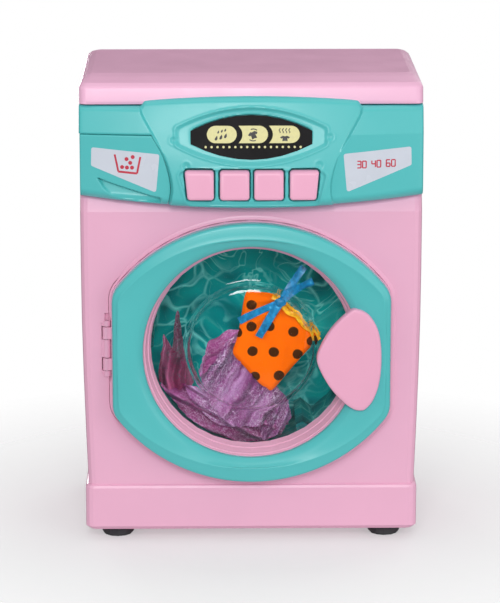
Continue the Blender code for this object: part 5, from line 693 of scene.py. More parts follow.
def fascia_y(x, z):
    """The fascia with its display recess, button holes, dimples and finger grip."""
    surface = fascia_base_y(x, z)
    if abs(x) < CENTRE_REACH:
        up = z - DISPLAY_Z
        reach = lens_reach(x, up / math.cos(DISPLAY_TILT), BEZEL)
        if reach > -1.0 * MM:
            floor = fascia_base_y(0.0, DISPLAY_Z) + BEZEL_DEPTH / math.cos(DISPLAY_TILT)
            floor += up * math.tan(DISPLAY_TILT)
            surface -= BEZEL_LIP * bulge(reach, -0.6, 1.2)
            surface += rise(reach, -0.5, 2.0) * max(0.0, floor - surface)
            sink = lens_reach(x, up / math.cos(DISPLAY_TILT), DISPLAY)
            if sink > -0.8 * MM:
                surface += DISPLAY_STEP + rise(sink, 0.1, 0.9) * DISPLAY_SINK
        if z < BUTTON_Z + BUTTON_FIELD_UP:
            reach = distance_to(CLUSTER, x, z)
            surface += CLUSTER_SINK * rise(reach, -0.4, 1.0) - CLUSTER_LIP * bulge(reach, -0.9, 1.1)
            for hole in BUTTON_HOLES:
                if abs(x - hole[0][0]) < BUTTON_REACH:
                    surface += BUTTON_HOLE_DEPTH * rise(distance_to(hole, x, z), -0.50, 0.7)
        for dimple in DIMPLES:
            apart = math.hypot(x - dimple[0], z - dimple[1])
            surface += DIMPLE_SINK * rise(-apart, -2.2, 1.8) - DIMPLE_LIP * bulge(apart, 2.5, 0.9)
    elif GRIP_BOX[0] < x < GRIP_BOX[1] and z < GRIP_BOX[2]:
        reach = distance_to(GRIP, x, z)
        (ax, az), (bx, bz) = GRIP[0], GRIP[4]
        below = ((bx - ax) * (az - z) + (bz - az) * (x - ax)) / math.hypot(bx - ax, bz - az)
        depth = max(GRIP_SINK * max(0.0, 1.0 - below / GRIP_REACH), GRIP_EDGE_SINK * rise(reach, 0.6, 0.7))
        surface += depth * rise(reach, -0.35, 0.7)
    return surface


def drawer_joint(x, z):
    """The edges on both sides of the drawer's gap are rounded off."""
    if x > 0.0 or z > CREASE_Z + JOINT_REACH:
        return 0.0
    beside = abs(x + seam_x(z) + SEAM_SOFTNESS) if z < CREASE_Z else JOINT_REACH
    above = abs(z - CREASE_Z) if x < -seam_x(z) - SEAM_SOFTNESS + 0.1 * MM else JOINT_REACH
    return JOINT_ROUND * (1.0 - min(beside, above, JOINT_REACH) / JOINT_REACH) ** 2


def side_round(x):
    """The outer ends of the wings roll back a little."""
    return SIDE_ROUND * max(0.0, 1.0 - (HALF_WIDTH - abs(x)) / SIDE_REACH) ** 2


def wall_back_y(z):
    """How far back the fascia's edges reach: to the shoulder or the face behind it."""
    if z >= LEDGE_Z:
        return UPPER_FACE_Y - FIT_GAP
    if z >= SHOULDER_TOP_Z:
        share = (z - SHOULDER_TOP_Z) / (LEDGE_Z - SHOULDER_TOP_Z)
        return SHOULDER_TOP_Y + (UPPER_FACE_Y - SHOULDER_TOP_Y) * share - FIT_GAP
    return SHOULDER_TOP_Y - SHOULDER_SLOPE * (SHOULDER_TOP_Z - z) - FIT_GAP


# Rows of the fascia's grid, in the low band, below and above the crease and in the top band, then up
# the drawer's face and at its top edge; and columns, at the ends, on the wings, seams and centre
BAND_ROWS, LOW_ROWS, HIGH_ROWS, TOP_ROWS, DRAWER_ROWS, DRAWER_TOP_ROWS = 7, 72, 28, 5, 71, 2
END_COLUMNS, WING_COLUMNS, SEAM_COLUMNS, CENTRE_COLUMNS = 3, 26, 8, 190
DRAWER_TOP_EDGE = 0.3 * MM


def spaced(start, end, count):
    return [start + (end - start) * (step + 1) / count for step in range(count)]


def fascia_rows(low_z, high_z):
    """Row heights: close at the two edges and at the crease."""
    rows = [low_z] + spaced(low_z, low_z + BOTTOM_BAND, BAND_ROWS)
    top = high_z - TOP_BAND
    if high_z > CREASE_Z + TOP_BAND:
        rows += spaced(rows[-1], CREASE_Z, LOW_ROWS) + spaced(CREASE_Z, top, HIGH_ROWS)
        return rows + spaced(top, high_z, TOP_ROWS)
    edge = high_z - DRAWER_TOP_EDGE
    return rows + spaced(rows[-1], edge, DRAWER_ROWS) + spaced(edge, high_z, DRAWER_TOP_ROWS)


def fascia_columns(z):
    """Column places at a height: close at the ends and at the seams."""
    seam, soft, end = seam_x(z), SEAM_SOFTNESS * 1.2, HALF_WIDTH - SIDE_REACH
    places = [-HALF_WIDTH]
    for stop, count in ((-end, END_COLUMNS), (-seam - soft, WING_COLUMNS), (-seam + soft, SEAM_COLUMNS),
                        (seam - soft, CENTRE_COLUMNS), (seam + soft, SEAM_COLUMNS), (end, WING_COLUMNS),
                        (HALF_WIDTH, END_COLUMNS)):
        places += spaced(places[-1], stop, count)
    return places


def fascia_piece(name, grid, gap, replaced, body):
    """A closed piece: the front surface over a grid, less a gap at its low left, with walls and a back."""
    work = bmesh.new()
    made = {}

    def vertex(row, column):
        if (row, column) not in made:
            x, z = grid[row][column]
            made[(row, column)] = work.verts.new((x, fascia_y(x, z) + side_round(x) + drawer_joint(x, z), z))
        return made[(row, column)]

    for row in range(len(grid) - 1):
        for column in range(len(grid[0]) - 1):
            if row >= gap[0] or column >= gap[1]:
                work.faces.new((vertex(row, column), vertex(row, column + 1),
                                vertex(row + 1, column + 1), vertex(row + 1, column)))
    border = [edge for edge in work.edges if edge.is_boundary]
    moved = bmesh.ops.extrude_edge_only(work, edges=border)["geom"]
    for part in moved:
        if isinstance(part, bmesh.types.BMVert):
            part.co.y = wall_back_y(part.co.z)
    rim = [part for part in moved if isinstance(part, bmesh.types.BMEdge)]
    bmesh.ops.triangle_fill(work, use_beauty=True, edges=rim)
    bmesh.ops.recalc_face_normals(work, faces=work.faces)
    add(name, work, TEAL, body, 55.0, replaced)


def settled_grid(places, place_at, rows_at):
    """Grid points (x, z), where a column's place depends on its height and a row's height on its x."""
    grid = []
    for level in range(len(rows_at(0.0))):
        row = []
        for spot, x in enumerate(places):
            for _ in range(5):
                x = place_at(rows_at(x)[level], spot)
            row.append((x, rows_at(x)[level]))
        grid.append(row)
    return grid


def make_fascia():
    """The panel, with a gap where the drawer front sits, and the drawer front itself."""
    def panel_rows(x):
        return fascia_rows(fascia_low_z(x), min(fascia_top_z(x), FASCIA_LIMIT_Z))

    grid = settled_grid(fascia_columns(CREASE_Z), lambda z, spot: fascia_columns(z)[spot], panel_rows)
    gap = (BAND_ROWS + LOW_ROWS, END_COLUMNS + WING_COLUMNS)
    fascia_piece("fascia_panel", grid, gap, ("control_panel",), "base")

    # Columns of the drawer's front, as shares of its width: closer at both ends
    left = -HALF_WIDTH + DRAWER_GAP
    shares = [0.0, 0.01, 0.02, 0.035] + spaced(0.035, 0.975, 84) + [0.982, 0.988, 0.994, 1.0]

    def drawer_rows(x):
        return fascia_rows(fascia_low_z(x), CREASE_Z - DRAWER_GAP)

    def drawer_place(z, spot):
        return left + (-seam_x(z) - SEAM_SOFTNESS - DRAWER_GAP - left) * shares[spot]

    grid = settled_grid([left] * len(shares), drawer_place, drawer_rows)
    fascia_piece("drawer_face", grid, (0, 0), ("drawer_front",), "drawer")


def lean_back(points, tilt, pivot):
    """Lean points back about a crosswise line through the pivot (y, z)."""
    turn = (Matrix.Translation((0.0, pivot[0], pivot[1])) @ Matrix.Rotation(-tilt, 4, 'X')
            @ Matrix.Translation((0.0, -pivot[0], -pivot[1])))
    return [turn @ Vector(point) for point in points]


def cushion(outline, centre, front, rows, shares, dome=0.0):
    """Loops of a cap: rows in from its outline and behind its front, then its face in shares."""
    loops = [facing(inset(outline, step * MM), front + depth * MM) for step, depth in rows]
    edge = inset(outline, rows[-1][0] * MM)
    return loops + [facing(scaled(edge, centre, share), front + dome * (1.0 - share)) for share in shares]


# Rows of the caps' edges, in millimetres, and the shares at which the loops of their faces lie
BUTTON_ROWS = [(0.3, 1.3), (0.0, 0.9), (0.10, 0.62), (0.30, 0.32), (0.60, 0.12), (1.00, 0.0)]
BUTTON_SHARES = [0.90, 0.82, 0.74, 0.66, 0.55, 0.40, 0.20, 0.03]
HANDLE_ROWS = [(0.0, 1.6), (0.10, 1.0), (0.32, 0.55), (0.65, 0.26), (1.1, 0.10), (1.7, 0.02)]
HANDLE_SHARES = [0.93, 0.85, 0.76, 0.66, 0.56, 0.46, 0.36, 0.26, 0.15, 0.04]
HANDLE_DOME = 0.25 * MM


def make_buttons():
    """Push buttons: rounded edges and a soft fold along the top."""
    pivot = (fascia_base_y(0.0, BUTTON_Z), BUTTON_Z)
    fold_z = BUTTON_Z + BUTTON_HALF[1] - BUTTON_FOLD_DOWN
    for number, x in enumerate(BUTTON_XS):
        front = fascia_base_y(x, BUTTON_Z) + BUTTON_SUNK - 0.2 * MM
        points, faces = skin(cushion(button_outline(number), (x, BUTTON_Z), front, BUTTON_ROWS,
                                     BUTTON_SHARES))
        folded = [(px, y + BUTTON_FOLD_SLOPE * max(0.0, pz - fold_z), pz) for px, y, pz in points]
        add(f"button_cap_{number + 1}", (lean_back(folded, BUTTON_TILT, pivot), faces), CAP_PINK,
            f"button_{number + 1}", 60.0, (f"button_{number + 1}",))


def plate(name, outlines, thick, place, finish, body, cell=None):
    """Thin flat shapes: each outline (across, up) becomes a plate laid by the rule place."""
    work = bmesh.new()
    for outline in outlines:
        face = work.faces.new([work.verts.new((x, 0.0, z)) for x, z in outline])
        face.normal_update()
        if face.normal.y > 0.0:
            face.normal_flip()
    for axis in (0, 2) if cell else ():
        low = min(vert.co[axis] for vert in work.verts)
        high = max(vert.co[axis] for vert in work.verts)
        for step in range(1, int((high - low) / cell)):
            middle, normal = Vector(), Vector()
            middle[axis], normal[axis] = low + step * cell, 1.0
            bmesh.ops.bisect_plane(work, geom=work.verts[:] + work.edges[:] + work.faces[:],
                                   plane_co=middle, plane_no=normal)
    moved = bmesh.ops.extrude_face_region(work, geom=work.faces[:], use_keep_orig=True)["geom"]
    raised = {part for part in moved if isinstance(part, bmesh.types.BMVert)}
    bmesh.ops.recalc_face_normals(work, faces=work.faces)
    for vert in work.verts:
        vert.co = place(vert.co.x, vert.co.z, thick if vert in raised else 0.0)
    bmesh.ops.recalc_face_normals(work, faces=work.faces)
    add(name, work, finish, body, 30.0)


def on_display(px, py):
    """Across and up on the display, from a pixel of the photograph."""
    return ((px - MIDDLE_PIXEL[0]) * PIXEL_ACROSS, (DISPLAY_PIXEL - py) * DISPLAY_PIXEL_UP)


# On the display, in pixels of the photograph: the lozenges' ends and their top and bottom edges, and
# the drops with their sizes in millimetres
LOZENGES = ((207.8, 237.4), (239.0, 268.4), (269.2, 300.0))
LOZENGE_TOP, LOZENGE_LOW = 127.2, 143.9
DROPS = ((219.2, 133.1, 1.0), (222.7, 132.2, 1.0), (226.1, 131.3, 1.0), (217.2, 139.0, 1.5),
         (221.9, 138.0, 1.5), (226.4, 136.8, 1.5))

# A shirt, a digit's lines and the digits that use them, as places across and up
SHIRT = [(-0.9, 1.5), (-0.3, 1.2), (0.3, 1.2), (0.9, 1.5), (2.1, 0.6), (1.5, -0.2), (1.0, 0.1),
         (1.1, -1.7), (0.0, -1.5), (-1.1, -1.7), (-1.0, 0.1), (-1.5, -0.2), (-2.1, 0.6)]
DIGIT_LINES = {"a": ((0, 2), (1, 2)), "b": ((1, 2), (1, 1)), "c": ((1, 1), (1, 0)), "d": ((0, 0), (1, 0)),
               "e": ((0, 0), (0, 1)), "f": ((0, 1), (0, 2)), "g": ((0, 1), (1, 1))}
DIGITS = {"0": "abcdef", "3": "abgcd", "4": "fgbc", "6": "afgedc"}


def make_display_art():
    """Three generic pictogram lozenges and a row of dots on the dark display."""
    pivot = (fascia_base_y(0.0, DISPLAY_Z), DISPLAY_Z)

    def show(name, shapes, lift, finish):
        def place(x, z, thick):
            flat = [(x, pivot[0] + BEZEL_DEPTH - lift - thick, DISPLAY_Z + z)]
            return lean_back(flat, DISPLAY_TILT, pivot)[0]
        plate(name, shapes, DISPLAY_ART_THICK, place, finish, "base")

    top, low = on_display(0, LOZENGE_TOP)[1], on_display(0, LOZENGE_LOW)[1]
    middle, radius = (top + low) / 2, (top - low) / 2
    quarter = math.pi / 2
    lozenges = []
    for number, (left, right) in enumerate(LOZENGES):
        left, right = on_display(left, 0)[0], on_display(right, 0)[0]
        outline = arc((right - radius, middle), radius, -quarter, quarter, 14)
        if number:
            outline += [(left, top), (left + 0.4 * MM, top - 0.2 * MM)]
            outline += arc((left - 0.75 * radius, middle), 1.22 * radius, 0.82, -0.82, 14)
            outline += [(left + 0.4 * MM, low + 0.2 * MM), (left, low)]
        else:
            outline += arc((left + radius, middle), radius, quarter, 3 * quarter, 14)
        lozenges.append(outline)
    show("display_lozenges", lozenges, 0.02 * MM, CREAM_INK)
    dots = [circle(on_display(206.6 + 5.88 * step, 147.6), 0.62 * MM, 12) for step in range(17)]
    show("display_dots", dots, 0.02 * MM, CREAM_INK)

    marks = []
    for px, py, size in DROPS:
        x, z = on_display(px, py)
        marks.append([(x + size * MM * (0.62 * math.sin(turn) * math.sin(turn / 2) + 0.25 * math.cos(turn)),
                       z + size * MM * 0.85 * math.cos(turn))
                      for turn in (2 * math.pi * step / 14 for step in range(14))])
    swirl = on_display(253.8, 136.0)
    for (x, z), tall, turn in ((swirl, 1.25, 0.35), (on_display(285.2, 139.3), 0.9, 0.0)):
        marks.append([(x + (a * 1.25 * math.cos(turn) - b * tall * math.sin(turn)) * MM,
                       z + (a * 1.25 * math.sin(turn) + b * tall * math.cos(turn)) * MM) for a, b in SHIRT])
    for start in (0.9, 0.9 + math.pi):
        marks.append(stroke(arc(swirl, 3.1 * MM, start, start + 1.1, 6), 0.55 * MM))
    for step in range(4):
        x, z = on_display(280.0 + 3.2 * step, 132.0)
        wave = [(x + 0.33 * MM * math.sin(place * 1.3), z + (place - 3) * 0.42 * MM) for place in range(7)]
        marks.append(stroke(wave, 0.45 * MM))
    show("display_marks", marks, 0.06 * MM, DARK_INK)


# On the wings, in pixels: a label's corners, the powder cup, its grains, and the temperatures, with
# the step between two digits in widths, and a digit's width and half height in millimetres
LABEL_CORNERS = ((93.0, 148.6), (160.8, 154.3), (157.2, 191.2), (92.6, 166.4))
CUP = ((116.3, 155.0), (118.1, 163.2), (119.8, 171.4), (129.0, 172.2), (138.4, 172.9), (140.1, 165.0),
       (141.8, 157.0))
GRAINS = ((134.2, 157.2), (128.1, 159.3), (131.7, 162.8), (123.6, 167.0), (128.4, 167.4), (133.5, 167.4))
TEMPERATURES = (("30", 357.0, 168.0), ("40", 371.5, 167.6), ("60", 386.0, 167.2))
LABEL_THICK, PRINT_THICK, LABEL_CELL = 0.07 * MM, 0.04 * MM, 2.5 * MM
DIGIT_STEP, DIGIT_WIDE, DIGIT_TALL = 1.45, 1.9, 1.75


def make_labels():
    """A label on each wing: a powder cup on the drawer, temperatures on the other side."""
    def stick(name, shapes, lift, thick, finish, body, cell=None):
        plate(name, shapes, thick, lambda x, z, t: Vector((x, fascia_base_y(x, z) - lift - t, z)),
              finish, body, cell)

    left = rounded_corners([from_photo(px, py) for px, py in LABEL_CORNERS], 1.1 * MM, 4)
    stick("drawer_label", [left], 0.0, LABEL_THICK, LABEL, "drawer", LABEL_CELL)
    stick("panel_label", [[(-x, z) for x, z in left]], 0.0, LABEL_THICK, LABEL, "base", LABEL_CELL)
    cup = [from_photo(px, py) for px, py in CUP]
    shapes = [stroke(cup[:3], 1.0 * MM), stroke(cup[2:5], 1.1 * MM), stroke(cup[4:], 1.0 * MM)]
    shapes += [circle(from_photo(px, py), 1.05 * MM, 16) for px, py in GRAINS]
    stick("drawer_label_cup", shapes, LABEL_THICK, PRINT_THICK, RED_INK, "drawer")
    shapes = []
    for text, px, py in TEMPERATURES:
        x, z = from_photo(px, py)
        for place, digit in enumerate(text):
            for name in DIGITS[digit]:
                line = [(x + (place * DIGIT_STEP + across) * DIGIT_WIDE * MM, z + up * DIGIT_TALL * MM)
                        for across, up in DIGIT_LINES[name]]
                shapes.append(stroke(line, 0.65 * MM))
    stick("panel_label_numbers", shapes, LABEL_THICK, PRINT_THICK, RED_INK, "base")


# ---------------------------------------------------------------- door
def door_outline(margin=0.0):
    half_width = RING_HALF_WIDTH + margin
    radius = RING_ARC + margin
    corner = RING_CORNER + margin
    sink = RING_ARC - RING_HALF_HEIGHT
    lift = math.sqrt((radius - corner) ** 2 - (half_width - corner) ** 2) - sink
    bend = math.atan2(lift + sink, half_width - corner)
    quarter = [(half_width, lift * step / 16) for step in range(16)]
    quarter += arc((half_width - corner, lift), corner, 0.0, bend, 16)[:-1]
    quarter += arc((0.0, -sink), radius, bend, math.pi / 2, 32)[:-1]
    whole = quarter + [(0.0, RING_HALF_HEIGHT + margin)] + [(-x, z) for x, z in reversed(quarter[1:])]
    outline = whole + [(-half_width, 0.0)] + [(x, -z) for x, z in reversed(whole[1:])]
    return [(x, z + RING_Z) for x, z in outline]


# Rows of the ring's section: how far inwards as shares of the crest's place and of the reach beyond
# a radius, plus millimetres, and the depth behind the front in millimetres
RING_ROWS = [
    (0.0, 0.0, 0.0, 0.0, RING_DEPTH), (0.0, 0.0, 0.0, 0.0, 2.9), (0.0, 0.0, 0.0, 0.12, 2.2),
    (0.0, 0.0, 0.0, 0.45, 1.6), (0.0, 0.0, 0.0, 0.95, 1.2), (0.0, 0.0, 0.0, 1.7, 0.95),
    (0.55, 0.0, 0.0, 0.8, 0.55), (1.0, 0.0, 0.0, -0.5, 0.15), (1.0, 0.0, 0.0, -0.15, 0.03),
    (1.0, 0.0, 0.0, 0.15, 0.0), (1.0, 0.0, 0.0, 0.5, 0.12), (0.66, 0.34, SLOPE_RADIUS, 0.0, 0.60),
    (0.33, 0.67, SLOPE_RADIUS, 0.0, 1.10), (0.0, 1.0, SLOPE_RADIUS, 0.0, 1.65),
    (0.0, 1.0, SLOPE_RADIUS, 0.9, 2.1), (0.0, 1.0, SLOPE_RADIUS, 2.6, 3.2),
    (0.0, 1.0, OPENING_RADIUS, -0.35, 4.1), (0.0, 1.0, OPENING_RADIUS, -0.08, 4.5),
    (0.0, 1.0, OPENING_RADIUS, 0.0, 4.9), (0.0, 1.0, OPENING_RADIUS, 0.0, RING_DEPTH),
]


def make_door_ring():
    """Teal ring with a soft outer edge, a crest line and a sloping lip."""
    outline = door_outline()
    loops = []
    for crest_share, reach_share, radius, more, depth in RING_ROWS:
        loop = []
        for x, z in outline:
            reach = math.hypot(x, z - RING_Z)
            crest = (3.1 + 4.6 * ((z - RING_Z) / reach) ** 2) * MM
            inward = crest_share * crest + reach_share * (reach - radius) + more * MM
            loop += scaled([(x, z)], (0.0, RING_Z), 1.0 - inward / reach)
        loops.append(facing(loop, RING_FRONT_Y + depth * MM))
    add("door_rim", skin(loops, ring=True), TEAL, "door", 45.0, ("door_front_ring",))


def handle_outline():
    """The pull's outline, from its pixels to its measured place and size."""
    spans = [(min(values), max(values)) for values in zip(*HANDLE_PIXELS)]
    middle, half = zip(*(((low + high) / 2, (high - low) / 2) for low, high in spans))
    corners = [(HANDLE_CENTRE[0] + HANDLE_HALF[0] * (px - middle[0]) / half[0],
                HANDLE_CENTRE[1] + HANDLE_HALF[1] * (middle[1] - py) / half[1]) for px, py in HANDLE_PIXELS]
    outline = rounded_loop(corners, 8)
    return outline if signed_area(outline) > 0.0 else outline[::-1]


def make_handle():
    """The sail-shaped pull, with soft edges and a faint moulding mark."""
    outline = handle_outline()
    loops = [facing(outline, HANDLE_BACK_Y)]
    loops += cushion(outline, HANDLE_CENTRE, HANDLE_FRONT_Y, HANDLE_ROWS, HANDLE_SHARES, HANDLE_DOME)
    add("door_pull", skin(loops), CAP_PINK, "door", 50.0, ("door_handle",))
    plate("pull_mark", [circle(from_photo(361.6, 356.5), 0.95 * MM, 20)], 0.05 * MM,
          lambda x, z, thick: Vector((x, HANDLE_FRONT_Y + 0.1 * MM - thick, z)),
          CAP_PINK, "door")


def lathe(profile, steps):
    """Turn (radius, y) pairs about a front-to-back line through the ring's middle."""
    points, faces, rows = [], [], []
    for radius, y in profile:
        ring = facing(circle((0.0, RING_Z), radius, steps), y) if radius > 1e-6 else [(0.0, y, RING_Z)]
        rows.append(range(len(points), len(points) + len(ring)))
        points += ring
    pairs = list(zip(rows, rows[1:]))
    if len(rows[0]) > 1:
        pairs.append((rows[-1], rows[0]))
    for low, high in pairs:
        for step in range(steps):
            after = (step + 1) % steps
            first = (low[0],) if len(low) == 1 else (low[step], low[after])
            faces.append(first + ((high[0],) if len(high) == 1 else (high[after], high[step])))
    return points, faces


# Rows of the window's raised middle: out from the dome's radius and ahead of the step, in millimetres
WINDOW_ROWS = [(3.4, -0.12), (2.4, 0.2), (1.7, 0.9), (1.0, 2.2), (0.3, 3.5), (-0.4, 4.15), (-1.6, 4.65)]


def window_profile(offset):
    """The clear window's face from rim to middle, as (radius, y), moved inwards by an offset."""
    profile = [(WINDOW_RADIUS, WINDOW_RIM_Y), (0.0500, WINDOW_RIM_Y - 0.35 * MM),
               (0.0430, WINDOW_RIM_Y - 0.75 * MM)]
    profile += [(DOME_RADIUS + out * MM, WINDOW_STEP_Y - ahead * MM) for out, ahead in WINDOW_ROWS]
    for step in range(1, DOME_STEPS + 1):
        share = 1.0 - step / DOME_STEPS
        rounded = 4.7 + 3.25 * (1.0 - share * share)
        profile.append(((DOME_RADIUS - 1.6 * MM) * share, WINDOW_STEP_Y - rounded * MM))
    shifted = [(max(0.0, radius + along.y * offset), y - along.x * offset)
               for (radius, y), along in zip(profile, headings(profile))]
    return shifted[:-1] + [(0.0, shifted[-1][1])]


def make_window():
    outside = window_profile(0.0)
    inside = [(WINDOW_RADIUS, outside[0][1] + WINDOW_THICK)] + window_profile(WINDOW_THICK)[1:]
    add("door_glass", lathe(inside[::-1] + outside, 128), CLEAR, "door", 50.0,
        ("door_window",))


def make_funnel_trim():
    """Two fine steps on the pink funnel inside the ring."""
    for place, (radius, y) in enumerate(FUNNEL_STEPS):
        profile = [(radius + out * MM, y + back * MM) for out, back in
                   ((0.1, 1.1), (-0.60, 0.9), (-0.45, -0.3), (-0.25, -0.6), (0.3, -0.7))]
        add(f"funnel_step_{place + 1}", lathe(profile, 144), PINK, "door", 30.0)


# Rows of the flange: out from the door's outline and ahead of the cabinet's face, in millimetres
FLANGE_ROWS = [(1.60, -1.0), (1.65, 0.06), (2.75, 0.06), (2.80, 0.12), (2.50, 0.28), (1.80, 0.42),
               (1.20, 0.52)]


def make_door_flange():
    """The pink rim of the door's back, nearly flush with the cabinet's face and tucked in by the hinge."""
    def rim(margin):
        points = []
        tucked = min(margin, FLANGE_TUCK)
        for (x, z), (near_x, near_z) in zip(door_outline(margin), door_outline(tucked)):
            left = smooth_step((FLANGE_TUCK_X - x) / (8.0 * MM))
            x, z = x + (near_x - x) * left, z + (near_z - z) * left
            if x < HINGE_SIDE_X:
                x += smooth_step((HINGE_HALF - abs(z - HINGE_Z)) / (3.0 * MM)) * (tucked - 0.70 * MM)
            points.append((x, z))
        return points

    inner = door_outline(0.62 * MM)
    loops = [facing(inner, FACE_Y + 1.0 * MM)]
    loops += [facing(rim(margin * MM), FACE_Y - ahead * MM) for margin, ahead in FLANGE_ROWS]
    loops.append(facing(inner, FACE_Y - 0.60 * MM))
    add("door_flange", skin(loops, ring=True), PINK, "door", 45.0)


def make_hinge_plate():
    """The thin plate round the hinge, let into the cabinet's face."""
    left, top = from_photo(99.6, 321.8)
    low = from_photo(0, 374.4)[1]
    right = HINGE_PLATE_RIGHT
    line = 0.55 * MM
    strips = [[(left, low), (left + line, low), (left + line, top), (left, top)],
              [(left + line, low), (right, low), (right, low + line), (left + line, low + line)],
              [(left + line, top - line), (right, top - line), (right, top), (left + line, top)]]
    plate("hinge_plate_lines", strips, 0.40 * MM,
          lambda x, z, thick: Vector((x, FACE_Y - thick, z)), PINK, "base")


# ---------------------------------------------------------------- lid
def plan_loop(half_width, front, back, radius, z):
    """A rounded rectangle seen from above, at a height."""
    points = []
    for quarter, (side, y) in enumerate(((1, back - radius), (-1, back - radius), (-1, front + radius),
                                         (1, front + radius))):
        start = quarter * math.pi / 2
        points += arc((side * (half_width - radius), y), radius, start, start + math.pi / 2, 10)
    return [(x, y, z) for x, y in points]


def make_lid():
    """The pink top cover: upright lip made bright partly by the painted highlight of its lighter pink, two
    soft folds and a flat top.
    """
    # Rows: in from the sides and back from the lip, in millimetres, and the height
    rows = [(2.5, 2.5, LID_LOW_Z), (0.35, 0.35, LID_LOW_Z), (0.0, 0.12, LID_LOW_Z + 0.25 * MM),
            (0.0, 0.3, LID_LOW_Z + 2.0 * MM), (0.0, 1.5, 0.2440), (0.0, 1.65, 0.2446), (0.1, 1.85, 0.24525),
            (0.3, 2.2, 0.24575), LID_LIP_TOP]
    folds = [LID_LIP_TOP, (1.2, 5.0, 0.2474), (3.4, 15.0, 0.2492), (6.0, 22.0, 0.2500),
             (12.0, 34.0, 0.2500)]
    for first, last in zip(folds, folds[1:]):
        rows += [tuple(a + (b - a) * share for a, b in zip(first, last))
                 for share in (0.04, 0.12, 0.88, 0.96)]
    loops = [plan_loop(HALF_WIDTH - side * MM, LID_LIP_Y + front * MM, BACK_Y - min(side, front) * MM,
                       4.0 * MM if side < 5.0 else 3.0 * MM, z) for side, front, z in rows + folds[-1:]]
    add("lid", skin(loops), LID_PINK_PAINTED_HIGHLIGHT, "base", 50.0, ("top_cover",))


# ---------------------------------------------------------------- laundry
def cloth(name, rows, finish, closed=True, replaced=()):
    """A cloth over rows of (point, flat place), and its area; a closed one starts at a single point."""
    work = bmesh.new()
    layer = work.loops.layers.uv.new("flat")
    spots, flats = [], {}
    for row in rows:
        spots.append([work.verts.new(point) for point, _ in row])
        flats.update(zip(spots[-1], (flat for _, flat in row)))
    count = len(rows[-1])
    for low, high in zip(spots, spots[1:]):
        for step in range(count if closed else count - 1):
            after = (step + 1) % count
            first = (low[0],) if len(low) == 1 else (low[step], low[after])
            for corner in work.faces.new((*first, high[after], high[step])).loops:
                corner[layer].uv = flats[corner.vert]
    if closed:
        bmesh.ops.recalc_face_normals(work, faces=work.faces)
    area = sum(face.calc_area() for face in work.faces)
    return add(name, work, finish, "drum", 0.0, replaced), area


def ripple(x, z, scale, seed):
    return noise.noise(Vector((x * scale, z * scale, seed)))


# The dress: its outline from pixels, and its rings as shares of that, out to the edge and back behind
DRESS_CORNERS = [in_drum(px, py) for px, py in
                 ((246.6, 290.6), (262.0, 291.2), (273.3, 293.0), (281.0, 298.0), (300.0, 317.0),
                  (318.0, 335.4), (314.5, 341.0), (294.0, 364.0), (273.3, 387.5), (266.0, 386.0),
                  (258.7, 381.5), (246.0, 367.0), (233.3, 352.4), (236.0, 340.0), (239.4, 325.7),
                  (241.5, 314.0))]
DRESS_SHARES = [0.0, 0.10, 0.20, 0.30, 0.40, 0.50, 0.59, 0.67, 0.74, 0.80, 0.85, 0.89, 0.925, 0.95, 0.97,
                0.985, 0.995, 1.0, 0.995, 0.985, 0.96, 0.92, 0.85]
DRESS_EDGE = DRESS_SHARES.index(1.0)


def make_dress():
    """The folded dotted dress: bulging front, edges that roll back, folds from the knot."""
    centre = middle_of(DRESS_CORNERS)
    outline = rounded_loop(DRESS_CORNERS, 10)
    knot = in_drum(279.5, 300.3)
    rings = []
    for level, share in enumerate(DRESS_SHARES):
        rolled = level > DRESS_EDGE
        edge = max(0.0, (share - 0.85) / 0.15)
        ring = []
        for x, z in scaled(outline, centre, share):
            dx, dz = x - knot[0], z - knot[1]
            fold = math.sin(math.atan2(dz, dx) * 7.0 + 2.2 * ripple(x, z, 60.0, 1.0))
            # Broad waves and folds that run from the knot, then small creases and an edge that rolls back
            y = 1.5 * ripple(x, z, 75.0, 3.0) - 1.3 * fold * math.exp(-math.hypot(dx, dz) / FOLD_FADE)
            y += 0.35 * ripple(x, z, 260.0, 7.0) + 1.9 * edge * edge
            if rolled:
                y += (2.9 - 0.6 * edge) * min(1.0, (level - DRESS_EDGE) / 2)
            ring.append((x, LAUNDRY_Y + y * MM, z))
        flats = scaled(outline, centre, 2.0 - share if rolled else share)
        rings.append(list(zip(ring, flats))[:None if share else 1])
    dress, area = cloth("dress_cloth", rings, DRESS, replaced=("play_dress",))
    dress.modifiers.new("cloth_thickness", "SOLIDIFY").thickness = 0.25 * MM
    return dress, area


def drum_point(px, py, y):
    x, z = in_drum(px, py, y)
    return (x, y, z)


def ribbon_run(name, path, width, finish, twist, replaced=()):
    """A flat band that follows a path, with its flat coordinates along it."""
    knots = [Vector(point) for point in path]
    knots = [knots[0] * 2 - knots[1]] + knots + [knots[-1] * 2 - knots[-2]]
    line = [curve(*four, step / 8) for four in zip(knots, knots[1:], knots[2:], knots[3:])
            for step in range(8)] + [knots[-2]]
    total = sum((b - a).length for a, b in zip(line, line[1:]))
    last = len(line) - 1
    near = Vector((0.0, -1.0, 0.0))
    rows = []
    for v in (step / 6 for step in range(7)):
        row = []
        for index, here in enumerate(line):
            before = min(last - 1, index)
            across = (line[before + 1] - line[before]).normalized().cross(near).normalized()
            lean = twist * math.sin(index / last * 5.0 + 1.0)
            side = across * math.cos(lean) + near * math.sin(lean)
            point = here + side * (v - 0.5) * width + near * 0.25 * MM * math.sin(v * math.pi)
            row.append((point, (index / last * total, v * width)))
        rows.append(row)
    return cloth(name, rows, finish, closed=False, replaced=replaced)[0], total


